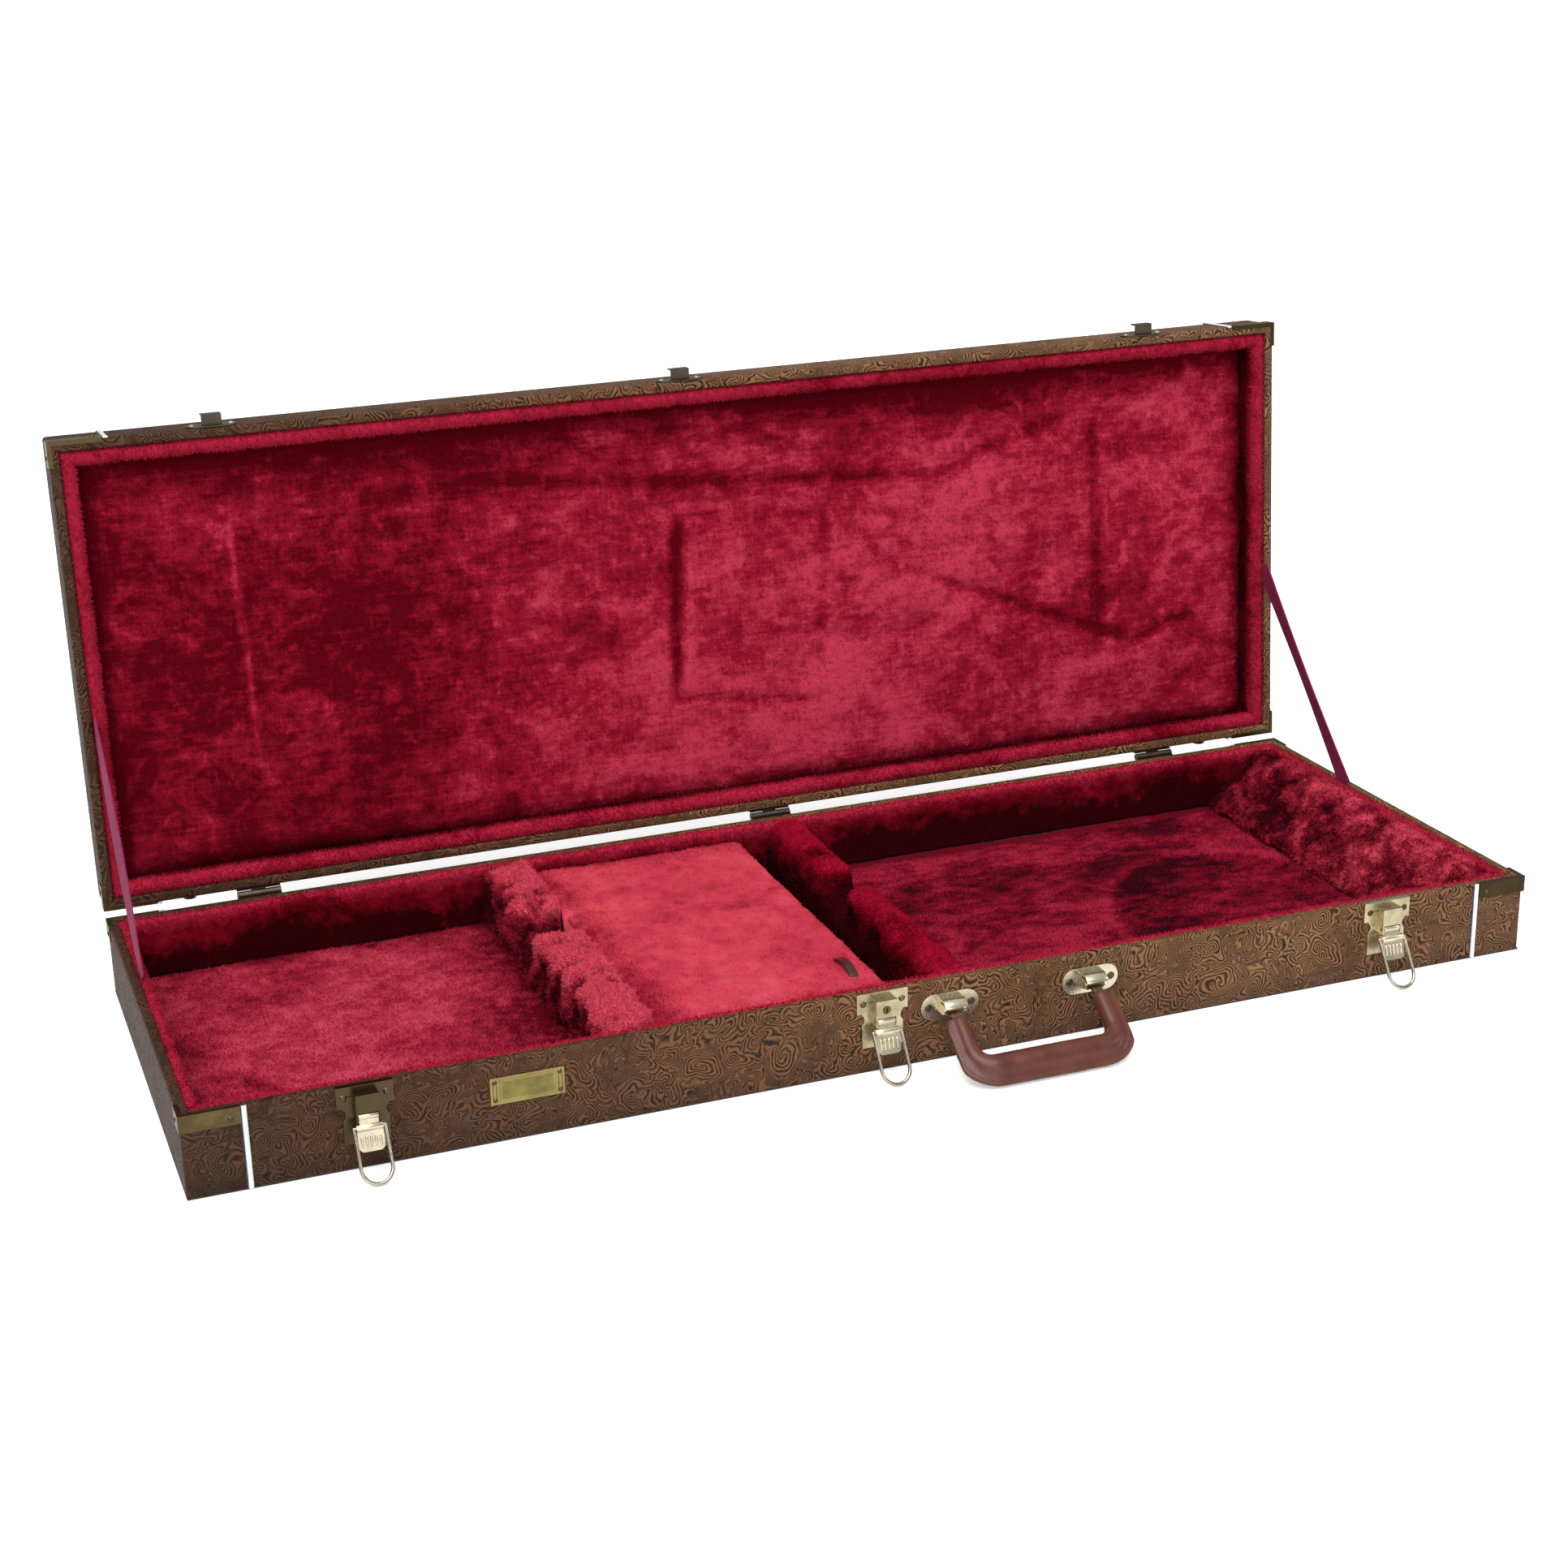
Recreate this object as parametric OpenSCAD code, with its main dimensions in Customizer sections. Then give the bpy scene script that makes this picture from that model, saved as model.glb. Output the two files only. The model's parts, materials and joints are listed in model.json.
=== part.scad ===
// Hard-shell case for an electric guitar, shown lying on its base with the lid open.
// Origin: centre of the base's bottom face. +X towards the body end, -Y the latch side, +Z up.
// The lid is drawn closed, above the base, and then turned about the hinge line.

/* [Case] */
// Outside length
case_l = 1080; // [880:5:1320]
// Outside width, front to back
case_w = 380; // [315:5:460]
// Height of the base
base_h = 64; // [53:1:78]
// Height of the lid
lid_h = 44; // [36:1:56]
// Angle between closed and stored lid
open_angle = 94; // [80:1:100]
// Space between the closed rims
rim_gap = 1; // [0.8:0.1:2]

/* [Shell] */
// Plywood wall thickness
wall_t = 6; // [5:0.5:8]
// Plywood bottom and lid panel thickness
panel_t = 5; // [4:0.5:7]
// Vinyl covering thickness
skin_t = 1; // [0.8:0.1:1.4]
// Width of the covering folded inside the rim
fold_t = 1; // [0.8:0.1:1.4]
// Radius of the piping, which stands proud by as much
piping_r = 1.9; // [1.2:0.1:2.5]
// Distance of the piping from each end of the case
piping_inset = 44.5; // [44:0.5:70]

/* [Lining] */
// Plush lining on the walls
lining_t = 4; // [3:0.5:6]
// Plush and foam on the floor
floor_t = 6; // [4:0.5:9]
// Padding inside the lid panel
lid_pad_t = 12; // [8:1:16]
// Gap between the lid's wall lining and its padded panel
lid_pad_inset = 2; // [1:0.5:6]

/* [Compartments] */
// Left face of the left neck cradle, from the middle of the case
left_cradle_x = -232; // [-280:1:-215]
// Thickness of the left neck cradle
left_cradle_t = 42; // [30:1:50]
// Left face of the right neck cradle, from the middle of the case
right_cradle_x = 28; // [20:1:45]
// Thickness of the right neck cradle
right_cradle_t = 26; // [18:1:36]
// How far the neck cradles stand above the rim
cradle_rise = 2; // [0:0.5:6]
// Centre of the left cradle's notch, towards the back
left_notch_y = 43; // [20:1:60]
// Width of the left cradle's notch
left_notch_w = 56; // [44:1:68]
// Centre of the right cradle's notch, towards the back
right_notch_y = 27; // [10:1:50]
// Width of the right cradle's notch
right_notch_w = 50; // [40:1:62]
// Depth of the notches below the cradles' tops
notch_d = 34; // [24:1:38]
// Height of the accessory compartment's flap above the case's bottom
flap_z = 52; // [44:0.5:54]
// Thickness of the padded flap
flap_t = 7.5; // [5:0.5:9]
// Thickness of the divider under the flap's free edge
divider_t = 6; // [4:0.5:8]
// Gap between the flap's free edge and the end of the divider
flap_edge = 1; // [0.5:0.5:3]
// Thickness of the pad on the body compartment's floor
body_pad_t = 8; // [5:0.5:12]
// Ledge left between that pad and the back lining
body_pad_ledge = 28; // [10:1:40]
// Thickness of the end pad at the rim
end_pad_top = 20; // [12:1:30]
// Thickness of the end pad at the floor
end_pad_foot = 74; // [50:1:90]

/* [Latches] */
// Distance of the outer latches from the ends
latch_inset = 128; // [90:1:160]
// Place of the middle latch, from the middle of the case
mid_latch_x = -22; // [-60:1:0]
// Width of the latch plate
latch_w = 41; // [38:1:46]
// Height of the latch plate
latch_h = 44; // [42:1:48]
// Plate thickness
plate_t = 1.2; // [1:0.1:1.6]
// Width of the latch housing
housing_w = 17; // [16:0.5:20]
// How far the housing stands out
housing_d = 9.5; // [9:0.5:11]
// Radius of the lever's pin
lever_pin_r = 1.2; // [1:0.1:1.4]
// Tilt of the lever away from the plate
lever_tilt = 18; // [10:1:25]
// Length of the lever's tab, from its pin
lever_l = 25; // [22:0.5:28]
// Wire radius of the bail
bail_wire_r = 1.4; // [1.2:0.1:1.6]
// Reach of the bail, from its pivot to the middle of its end
bail_l = 40; // [38:0.5:44]

/* [Handle] */
// Place of the handle, from the middle of the case
handle_x = 91; // [80:1:110]
// Spacing of the handle's end plates
handle_span = 117; // [100:1:130]
// Height of the handle's pivot below the rim
handle_drop = 20.5; // [18:0.5:24]
// Distance of the pivot from the case's front
handle_standoff = 7.5; // [7:0.5:9]
// Radius of the grip
grip_r = 9.5; // [9:0.5:13]
// Radius of the legs
leg_r = 7; // [6:0.5:8]
// Pivot to the middle of the grip
grip_reach = 55; // [46:1:58]
// Middle of the grip to the outer edge of the stitched flange
flange_out = 16; // [15:0.5:20]

/* [Hardware] */
// Length of a corner bracket along the front
bracket_l = 42; // [30:1:42]
// Length of a corner bracket along the end
bracket_end_l = 20; // [16:1:30]
// Height of a corner bracket
bracket_h = 13; // [12:0.5:18]
// Hinge width
hinge_w = 36; // [30:1:50]
// Distance of the hinge axis behind the case
hinge_gap = 4.5; // [4.5:0.1:6]
// Hinge pin radius
hinge_pin_r = 1.5; // [1.2:0.1:1.6]
// Distance of the outer hinges from the ends
hinge_inset = 125; // [100:1:150]
// Place of the middle hinge, from the middle of the case
mid_hinge_x = 36; // [0:1:60]
// Distance of the spine feet from the ends
foot_inset = 70; // [60:1:85]
// Centre of the name plate, from the middle of the case
name_plate_x = -295.5; // [-320:0.5:-280]
// Where the stay straps leave the base's rim, forward of the hinge axis
strap_base_d = 134; // [110:1:150]
// Where the stay straps leave the lid's rim, from the hinge axis
strap_lid_d = 148; // [120:1:170]
// Width of the stay straps
strap_w = 17; // [12:0.5:20]

/* [Clearances] */
// Radial clearance of a pin that turns
run_fit = 0.05; // [0.02:0.01:0.1]
// Radial clearance round a nail's or rivet's shank
shank_fit = 0.05; // [0:0.01:0.1]
// Gap between pieces that move past each other
move_gap = 0.4; // [0.3:0.1:0.6]

/* [Hidden] */
$fn = 48;

front_y = -case_w / 2;
back_y = case_w / 2;
end_x = case_l / 2;
rim_t = skin_t + wall_t + fold_t;
in_x = end_x - rim_t;
in_y = back_y - rim_t;
room_x = in_x - lining_t;
room_y = in_y - lining_t;
panel_top = skin_t + panel_t;
floor_z = panel_top + floor_t;
lining_top = base_h - 1;
axis_y = back_y + hinge_gap;
axis_z = base_h + rim_gap / 2;
lid_z0 = base_h + rim_gap;
lid_z1 = lid_z0 + lid_h;
lid_panel_z = lid_z1 - skin_t - panel_t;
lid_pad_z = lid_panel_z - lid_pad_t;
lip = 0.2;
lip_w = 3;
turn_in = 14;

latch_x = [-end_x + latch_inset, mid_latch_x, end_x - latch_inset];
latch_rivet_dx = latch_w / 2 - 5;
latch_rivet_z = base_h - 8;
lever_y = front_y - 7;
lever_z = base_h - 21;
lever_barrel_r = 2.6;
lever_w = housing_w - 2 * plate_t - 2 * move_gap;
bail_offset = 8;
bail_y = lever_y - bail_offset * sin(lever_tilt);
bail_z = lever_z - bail_offset * cos(lever_tilt);
bail_half_w = housing_w / 2 + 1.2 + bail_wire_r;
bail_lean = acos(min(1, (bail_z - bail_wire_r - 0.3) / bail_l));
lock_z = base_h - 11.5;
lock_r = 3;
catch_z = lid_z0 + 9;
hook_w = 16;

handle_z = base_h - handle_drop;
handle_y = front_y - handle_standoff;
handle_reach = grip_reach + flange_out;
flange_t = 4;
bar_r = 2.5;
eye_r = 5;
eye_w = 13;
core_t = 3;
core_w = 8;
handle_lean = acos(min(1, (handle_z - 0.6 - flange_t / 2) / handle_reach));
screw_dx = 17.5;

hinge_x = [-end_x + hinge_inset, mid_hinge_x, end_x - hinge_inset];
knuckle_r = 3;
leaf_h = 18;
hinge_rivet_dx = 11;
hinge_rivet_d = 11;
foot_x = end_x - foot_inset;
foot_d = 13;
bracket_t = 1;
bracket_flange = 3;
nail_d = 8;
nail_end = 7;
shank_r = 1.4;
shank_l = 5;
strap_t = 1.2;
strap_x = in_x - lining_t / 2;
name_plate_w = 55;
name_plate_h = 21;
name_plate_z = base_h - 24;
heel_gap = 28;
flap_x0 = left_cradle_x + left_cradle_t + 2 + move_gap;
flap_x1 = right_cradle_x - heel_gap - flap_edge;
divider_x = right_cradle_x - heel_gap - divider_t;

vinyl = "#6b4a34";
plush = "#a8203a";
brass = "#c9b27a";
dark_brass = "#6a5a38";
ply = "#c8a878";
leather = "#6d3f38";
flap_plush = "#d0455a";

// Points of the rivets, nails and screws on each wall, as [along the wall, height].
latch_pts = [for (x = latch_x, s = [-1, 1]) [x + s * latch_rivet_dx, latch_rivet_z]];
catch_pts = [for (x = latch_x, s = [-1, 1]) [x + s * latch_rivet_dx, catch_z]];
base_nail_pts = [for (s = [-1, 1]) [s * (end_x - bracket_l + nail_end), base_h - nail_d]];
lid_nail_pts = [for (s = [-1, 1]) [s * (end_x - bracket_l + nail_end), lid_z0 + nail_d]];
base_end_pts = [for (s = [-1, 1]) [s * (back_y - bracket_end_l + nail_end), base_h - nail_d]];
lid_end_pts = [for (s = [-1, 1]) [s * (back_y - bracket_end_l + nail_end), lid_z0 + nail_d]];
base_hinge_pts = [for (x = hinge_x, s = [-1, 1]) [x + s * hinge_rivet_dx, axis_z - hinge_rivet_d]];
lid_hinge_pts = [for (x = hinge_x, s = [-1, 1]) [x + s * hinge_rivet_dx, axis_z + hinge_rivet_d]];
base_foot_pts = [for (s = [-1, 1]) [s * foot_x, base_h - foot_d]];
lid_foot_pts = [for (s = [-1, 1]) [s * foot_x, lid_z0 + foot_d]];
name_pin_pts = [for (sx = [-1, 1], sz = [-1, 1])
    [name_plate_x + sx * (name_plate_w / 2 - 3.5), name_plate_z + sz * (name_plate_h / 2 - 3.5)]];
handle_screw_pts = [for (sx = [-1, 1], s = [-1, 1])
    [handle_x + sx * handle_span / 2 + s * screw_dx, handle_z]];

// Outward-facing frames on the four walls: local X along the wall, Y up, Z out.
module on_front(p) translate([p[0], front_y, p[1]]) rotate([90, 0, 0]) children();
module on_back(p) translate([p[0], back_y, p[1]]) rotate([90, 0, 180]) children();
module on_right(p) translate([end_x, p[0], p[1]]) rotate([90, 0, 90]) children();
module on_left(p) translate([-end_x, p[0], p[1]]) rotate([90, 0, -90]) children();
module open_lid()
    translate([0, axis_y, axis_z]) rotate([-open_angle, 0, 0]) translate([0, -axis_y, -axis_z]) children();
module block(lo, hi) translate(lo) cube(hi - lo);

// A fastener with a low conical head on a plate of the given thickness.
module fastener(over, head_r = 2.6) {
    translate([0, 0, over]) cylinder(r1 = head_r, r2 = head_r * 0.6, h = 0.9);
    translate([0, 0, -shank_l]) cylinder(r = shank_r, h = shank_l + over);
}
module shank_hole()
    translate([0, 0, -shank_l - shank_fit]) cylinder(r = shank_r + shank_fit, h = 2 * shank_l);

module front_holes()
    for (p = concat(latch_pts, base_nail_pts, name_pin_pts, handle_screw_pts)) on_front(p) shank_hole();
module back_holes()
    for (p = concat(base_hinge_pts, base_nail_pts, base_foot_pts)) on_back(p) shank_hole();
module end_holes() for (p = base_end_pts) {
    on_left(p) shank_hole();
    on_right(p) shank_hole();
}
module lid_front_holes() for (p = concat(catch_pts, lid_nail_pts)) on_front(p) shank_hole();
module lid_back_holes() for (p = concat(lid_hinge_pts, lid_nail_pts, lid_foot_pts)) on_back(p) shank_hole();
module lid_end_holes() for (p = lid_end_pts) {
    on_left(p) shank_hole();
    on_right(p) shank_hole();
}

// Four plywood walls between two heights, the long ones running the whole length.
module long_wall(side, z0, z1) {
    y = side * (back_y - skin_t - wall_t / 2);
    translate([0, y, (z0 + z1) / 2]) cube([case_l - 2 * skin_t, wall_t, z1 - z0], center = true);
}
module end_wall(side, z0, z1) {
    x = side * (end_x - skin_t - wall_t / 2);
    translate([x, 0, (z0 + z1) / 2]) cube([wall_t, case_w - 2 * (skin_t + wall_t), z1 - z0], center = true);
}
module base_front_wall() color(ply) difference() {
    long_wall(-1, panel_top, base_h - skin_t);
    front_holes();
}
module base_back_wall() color(ply) difference() {
    long_wall(1, panel_top, base_h - skin_t);
    back_holes();
}
module base_left_wall() color(ply) difference() {
    end_wall(-1, panel_top, base_h - skin_t);
    end_holes();
}
module base_right_wall() color(ply) difference() {
    end_wall(1, panel_top, base_h - skin_t);
    end_holes();
}
module base_bottom_panel() color(ply)
    block([-end_x + skin_t, front_y + skin_t, skin_t], [end_x - skin_t, back_y - skin_t, panel_top]);
module base_bottom_sheet() color(vinyl) block([-end_x, front_y, 0], [end_x, back_y, skin_t]);

// Ring of covering: outside face, rim fold and the narrow turn-in inside the rim.
module covering_ring(z0, z1, rim_lo, turn_lo, turn_hi) {
    difference() {
        block([-end_x, front_y, z0], [end_x, back_y, z1]);
        translate([0, 0, z0 - 1])
            block([-end_x + skin_t, front_y + skin_t, 0], [end_x - skin_t, back_y - skin_t, z1 - z0 + 2]);
    }
    difference() {
        block([-end_x + skin_t / 2, front_y + skin_t / 2, rim_lo],
            [end_x - skin_t / 2, back_y - skin_t / 2, rim_lo + skin_t]);
        block([-in_x, -in_y, rim_lo - 1], [in_x, in_y, rim_lo + skin_t + 1]);
    }
    difference() {
        block([-in_x - fold_t, -in_y - fold_t, turn_lo], [in_x + fold_t, in_y + fold_t, turn_hi]);
        block([-in_x, -in_y, turn_lo - 1], [in_x, in_y, turn_hi + 1]);
    }
}
// Recesses in the rim fold where brackets and plates lap over it.
module corner_recess(z0, z1) for (sx = [-1, 1], sy = [-1, 1])
    scale([sx, sy, 1]) translate([end_x, back_y, 0]) {
    block([-bracket_l, -bracket_flange, z0], [1, 1, z1]);
    block([-bracket_flange, -bracket_end_l, z0], [1, 1, z1]);
}
module plate_recess() for (x = latch_x)
    block([x - latch_w / 2, front_y - 1, base_h - skin_t], [x + latch_w / 2, front_y + lip_w, base_h + 1]);
module base_covering() color(vinyl) difference() {
    covering_ring(skin_t, base_h, base_h - skin_t, base_h - turn_in, base_h - skin_t / 2);
    corner_recess(base_h - skin_t, base_h + 1);
    plate_recess();
    front_holes();
    back_holes();
    end_holes();
}
module lid_covering() color(vinyl) open_lid() difference() {
    union() {
        covering_ring(lid_z0, lid_z1, lid_z0, lid_z0 + skin_t / 2, lid_z0 + turn_in);
        block([-end_x, front_y, lid_z1 - skin_t], [end_x, back_y, lid_z1]);
    }
    corner_recess(lid_z0 - 1, lid_z0 + skin_t);
    lid_front_holes();
    lid_back_holes();
    lid_end_holes();
}

// Half-round piping across the front and back, near each end.
module piping_run(z0, z1) for (sx = [-1, 1], sy = [-1, 1]) difference() {
    translate([sx * (end_x - piping_inset), sy * back_y, z0]) cylinder(r = piping_r, h = z1 - z0);
    block([-end_x, front_y, z0 - 1], [end_x, back_y, z1 + 1]);
}
module base_piping() color("white") piping_run(skin_t, base_h);
module lid_piping() color("white") open_lid() {
    piping_run(lid_z0, lid_z1);
    difference() {
        for (sx = [-1, 1]) translate([sx * (end_x - piping_inset), back_y + piping_r, lid_z1])
            rotate([90, 0, 0]) cylinder(r = piping_r, h = case_w + 2 * piping_r);
        block([-end_x, front_y - 5, lid_z1 - 5], [end_x, back_y + 5, lid_z1]);
    }
}

module lining_ring(z0, z1) difference() {
    block([-in_x, -in_y, z0], [in_x, in_y, z1]);
    block([-room_x, -room_y, z0 - 1], [room_x, room_y, z1 + 1]);
}
module base_side_lining() color(plush) lining_ring(floor_z, lining_top);
// The floor lining fills the space inside the walls, under the wall lining.
module base_floor_lining() color(plush)
    block([-in_x - fold_t, -in_y - fold_t, panel_top], [in_x + fold_t, in_y + fold_t, floor_z]);

// Padded block across the case with a U notch for the guitar's neck.
module cradle(x, t, notch_y, notch_w) {
    top = base_h + cradle_rise;
    r = notch_w / 2;
    soft = 12;
    difference() {
        translate([x, 0, 0]) rotate([90, 0, 90]) linear_extrude(t) difference() {
            translate([-room_y, floor_z]) square([2 * room_y, top - floor_z]);
            translate([notch_y - r, top - notch_d + r]) square([notch_w, notch_d]);
            translate([notch_y, top - notch_d + r]) circle(r);
        }
        for (s = [-1, 1]) translate([x - 1, s * (room_y - soft), top - soft]) difference() {
            block([0, min(0, s * soft * 2), 0], [t + 2, max(0, s * soft * 2), soft * 2]);
            rotate([0, 90, 0]) cylinder(r = soft, h = t + 2);
        }
    }
}
module left_neck_cradle() color(plush) cradle(left_cradle_x, left_cradle_t, left_notch_y, left_notch_w);
module right_neck_cradle() color(plush) cradle(right_cradle_x, right_cradle_t, right_notch_y, right_notch_w);
module compartment_divider() color(plush)
    block([divider_x, -room_y, floor_z], [divider_x + divider_t, room_y, flap_z - flap_t - move_gap]);
flap_side_gap = 3;
module compartment_flap() color(flap_plush)
    block([flap_x0, -room_y + flap_side_gap, flap_z - flap_t], [flap_x1, room_y - flap_side_gap, flap_z]);
tab_r = 36;
tab_rise = 7;
tab_t = 1.5;
pull_w = 7;
tab_inset = 24;
tab_y = -118;
module flap_pull_tab() color(leather)
    translate([flap_x1 - tab_inset, tab_y, flap_z + tab_rise - tab_r]) intersection() {
    rotate([0, 90, 0]) difference() {
        cylinder(r = tab_r, h = pull_w);
        translate([0, 0, -1]) cylinder(r = tab_r - tab_t, h = pull_w + 2);
    }
    block([-1, -tab_r, tab_r - tab_rise], [pull_w + 1, tab_r, tab_r + 1]);
}
module body_floor_pad() color(plush)
    block([right_cradle_x + right_cradle_t, -room_y, floor_z],
        [room_x - end_pad_foot, room_y - body_pad_ledge, floor_z + body_pad_t]);
end_pad_z = base_h - 2;
end_pad_nose = [6, 7];
module end_pad() color(plush) translate([0, room_y, 0]) rotate([90, 0, 0]) linear_extrude(2 * room_y)
    polygon([[room_x, floor_z], [room_x, end_pad_z], [room_x - end_pad_top, end_pad_z],
        [room_x - end_pad_foot + end_pad_nose[0], floor_z + end_pad_nose[1]],
        [room_x - end_pad_foot, floor_z]]);

// Metal angle over a rim corner: two legs outside and a narrow flange on the rim.
module corner_bracket() difference() {
    union() {
        block([-bracket_l, -bracket_flange, -bracket_h], [bracket_t, bracket_t, lip]);
        block([-bracket_flange, -bracket_end_l, -bracket_h], [bracket_t, bracket_t, lip]);
    }
    block([-2 * bracket_l, -2 * bracket_l, -2 * bracket_h], [0, 0, -skin_t]);
}
module bracket_set(z, up) for (sx = [-1, 1], sy = [-1, 1])
    translate([sx * end_x, sy * back_y, z]) scale([sx, sy, up]) corner_bracket();
module base_corner_brackets() color(dark_brass) difference() {
    bracket_set(base_h, 1);
    for (p = base_nail_pts) {
        on_front(p) shank_hole();
        on_back(p) shank_hole();
    }
    end_holes();
}
module lid_corner_brackets() color(dark_brass) open_lid() difference() {
    bracket_set(lid_z0, -1);
    for (p = lid_nail_pts) {
        on_front(p) shank_hole();
        on_back(p) shank_hole();
    }
    lid_end_holes();
}
module nail_set(long_pts, end_pts) {
    for (p = long_pts) {
        on_front(p) fastener(bracket_t, 2);
        on_back(p) fastener(bracket_t, 2);
    }
    for (p = end_pts) {
        on_left(p) fastener(bracket_t, 2);
        on_right(p) fastener(bracket_t, 2);
    }
}
module base_bracket_nails() color(dark_brass) nail_set(base_nail_pts, base_end_pts);
module lid_bracket_nails() color(dark_brass) open_lid() nail_set(lid_nail_pts, lid_end_pts);

// Latch: a plate with a waist, a housing with two cheeks, a pinned lever and a wire bail.
waist_r = 5;
shoulder_h = 16;
foot_w = latch_w - 8;
module latch_outline() difference() {
    union() {
        translate([-latch_w / 2, -shoulder_h]) square([latch_w, shoulder_h + lip]);
        translate([-foot_w / 2, -latch_h]) square([foot_w, latch_h]);
    }
    for (s = [-1, 1]) translate([s * (foot_w / 2 + 3), -shoulder_h - waist_r]) circle(waist_r);
}
module latch_plates() color(brass) for (x = latch_x) {
    difference() {
        on_front([x, base_h]) linear_extrude(plate_t) latch_outline();
        for (p = latch_pts) on_front(p) shank_hole();
    }
    block([x - latch_w / 2, front_y, base_h - skin_t], [x + latch_w / 2, front_y + lip_w, base_h + lip]);
}
housing_top = 4;
housing_front_h = 14;
cheek_h = 21;
module latch_housing() difference() {
    on_front([0, base_h]) difference() {
        translate([-housing_w / 2, -housing_top - cheek_h, plate_t])
            cube([housing_w, cheek_h, housing_d - plate_t]);
        translate([-housing_w / 2 + plate_t, -housing_top - cheek_h - 1, plate_t - 1])
            cube([housing_w - 2 * plate_t, cheek_h + 1 - plate_t, housing_d - 2 * plate_t + 1]);
        translate([-housing_w / 2 + plate_t, -housing_top - cheek_h - 1, plate_t - 1])
            cube([housing_w - 2 * plate_t, cheek_h - housing_front_h + 1, housing_d + 2]);
    }
    translate([-housing_w, lever_y, lever_z]) rotate([0, 90, 0]) cylinder(r = lever_pin_r, h = 2 * housing_w);
}
module latch_housings() color(brass) for (x = latch_x) translate([x, 0, 0]) difference() {
    latch_housing();
    if (x == mid_latch_x) on_front([0, lock_z]) cylinder(r = lock_r + run_fit, h = 2 * housing_d);
}
module lever_pins() color(dark_brass) for (x = latch_x)
    translate([x, lever_y, lever_z]) x_rod(lever_pin_r, housing_w);
module x_rod(r, w) translate([-w / 2, 0, 0]) rotate([0, 90, 0]) cylinder(r = r, h = w);
lever_t = 2;
tab_w = housing_w + 1.6;
corner_r = 4;
module lever() translate([0, lever_y, lever_z]) rotate([-lever_tilt, 0, 0]) difference() {
    union() {
        x_rod(lever_barrel_r, lever_w);
        translate([-lever_w / 2, -lever_t / 2, -bail_offset]) cube([lever_w, lever_t, bail_offset]);
        translate([0, 0, -bail_offset]) x_rod(lever_barrel_r + 0.2, tab_w);
        translate([-tab_w / 2, -lever_t / 2, -lever_l + corner_r])
            cube([tab_w, lever_t, lever_l - corner_r - bail_offset]);
        translate([-tab_w / 2 + corner_r, -lever_t / 2, -lever_l])
            cube([tab_w - 2 * corner_r, lever_t, corner_r + 1]);
        for (s = [-1, 1]) translate([s * (tab_w / 2 - corner_r), lever_t / 2, -lever_l + corner_r])
            rotate([90, 0, 0]) cylinder(r = corner_r, h = lever_t);
    }
    x_rod(lever_pin_r + run_fit, 2 * housing_w);
    translate([0, 0, -bail_offset]) x_rod(bail_wire_r + run_fit, 2 * housing_w);
}
module latch_lever_left() color(brass) translate([latch_x[0], 0, 0]) lever();
module latch_lever_middle() color(brass) translate([latch_x[1], 0, 0]) lever();
module latch_lever_right() color(brass) translate([latch_x[2], 0, 0]) lever();

// Wire bail: two ends turned into the lever, two arms and a half-round end.
bail_in = 4.5;
module bail() translate([0, bail_y, bail_z]) rotate([-bail_lean, 0, 0]) {
    arm = bail_l - bail_half_w;
    for (s = [-1, 1]) scale([s, 1, 1]) {
        translate([bail_half_w - bail_in, 0, 0]) rotate([0, 90, 0]) cylinder(r = bail_wire_r, h = bail_in);
        translate([bail_half_w, 0, 0]) sphere(bail_wire_r);
        translate([bail_half_w, 0, -arm]) cylinder(r = bail_wire_r, h = arm);
    }
    translate([0, 0, -arm]) rotate([90, 0, 0]) rotate_extrude(angle = 180, start = 180)
        translate([bail_half_w, 0]) circle(bail_wire_r);
}
module latch_bail_left() color(brass) translate([latch_x[0], 0, 0]) bail();
module latch_bail_middle() color(brass) translate([latch_x[1], 0, 0]) bail();
module latch_bail_right() color(brass) translate([latch_x[2], 0, 0]) bail();
module lock_core() color(dark_brass) on_front([mid_latch_x, lock_z]) difference() {
    translate([0, 0, plate_t + move_gap]) cylinder(r = lock_r, h = housing_d - plate_t - move_gap + 0.3);
    translate([-0.5, -2, housing_d - 1.5]) cube([1, 4, 3]);
}
module base_rivets() color(brass) {
    for (p = latch_pts) on_front(p) fastener(plate_t);
    for (p = base_hinge_pts) on_back(p) fastener(plate_t);
}

module name_plate() color("#8f8446") difference() {
    on_front([name_plate_x, name_plate_z]) {
        translate([-name_plate_w / 2, -name_plate_h / 2, 0]) cube([name_plate_w, name_plate_h, plate_t]);
        translate([-name_plate_w / 2 + 7, -name_plate_h / 2 + 2, 0])
            cube([name_plate_w - 14, name_plate_h - 4, plate_t + 0.5]);
    }
    for (p = name_pin_pts) on_front(p) shank_hole();
}
module name_plate_pins() color("#2c2418") for (p = name_pin_pts) on_front(p) fastener(plate_t, 1.8);

// Handle: two oval plates with a bridged bar, and a leather grip on a steel strap with eyes.
end_plate_w = 47;
end_plate_h = 21;
end_plate_t = 1.5;
cheek_t = 2;
hood_r = 7.6;
hood_gap = 0.8;
hood_stop = 20;
bridge_w = eye_w + 2 * move_gap + 2 * cheek_t;
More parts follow.
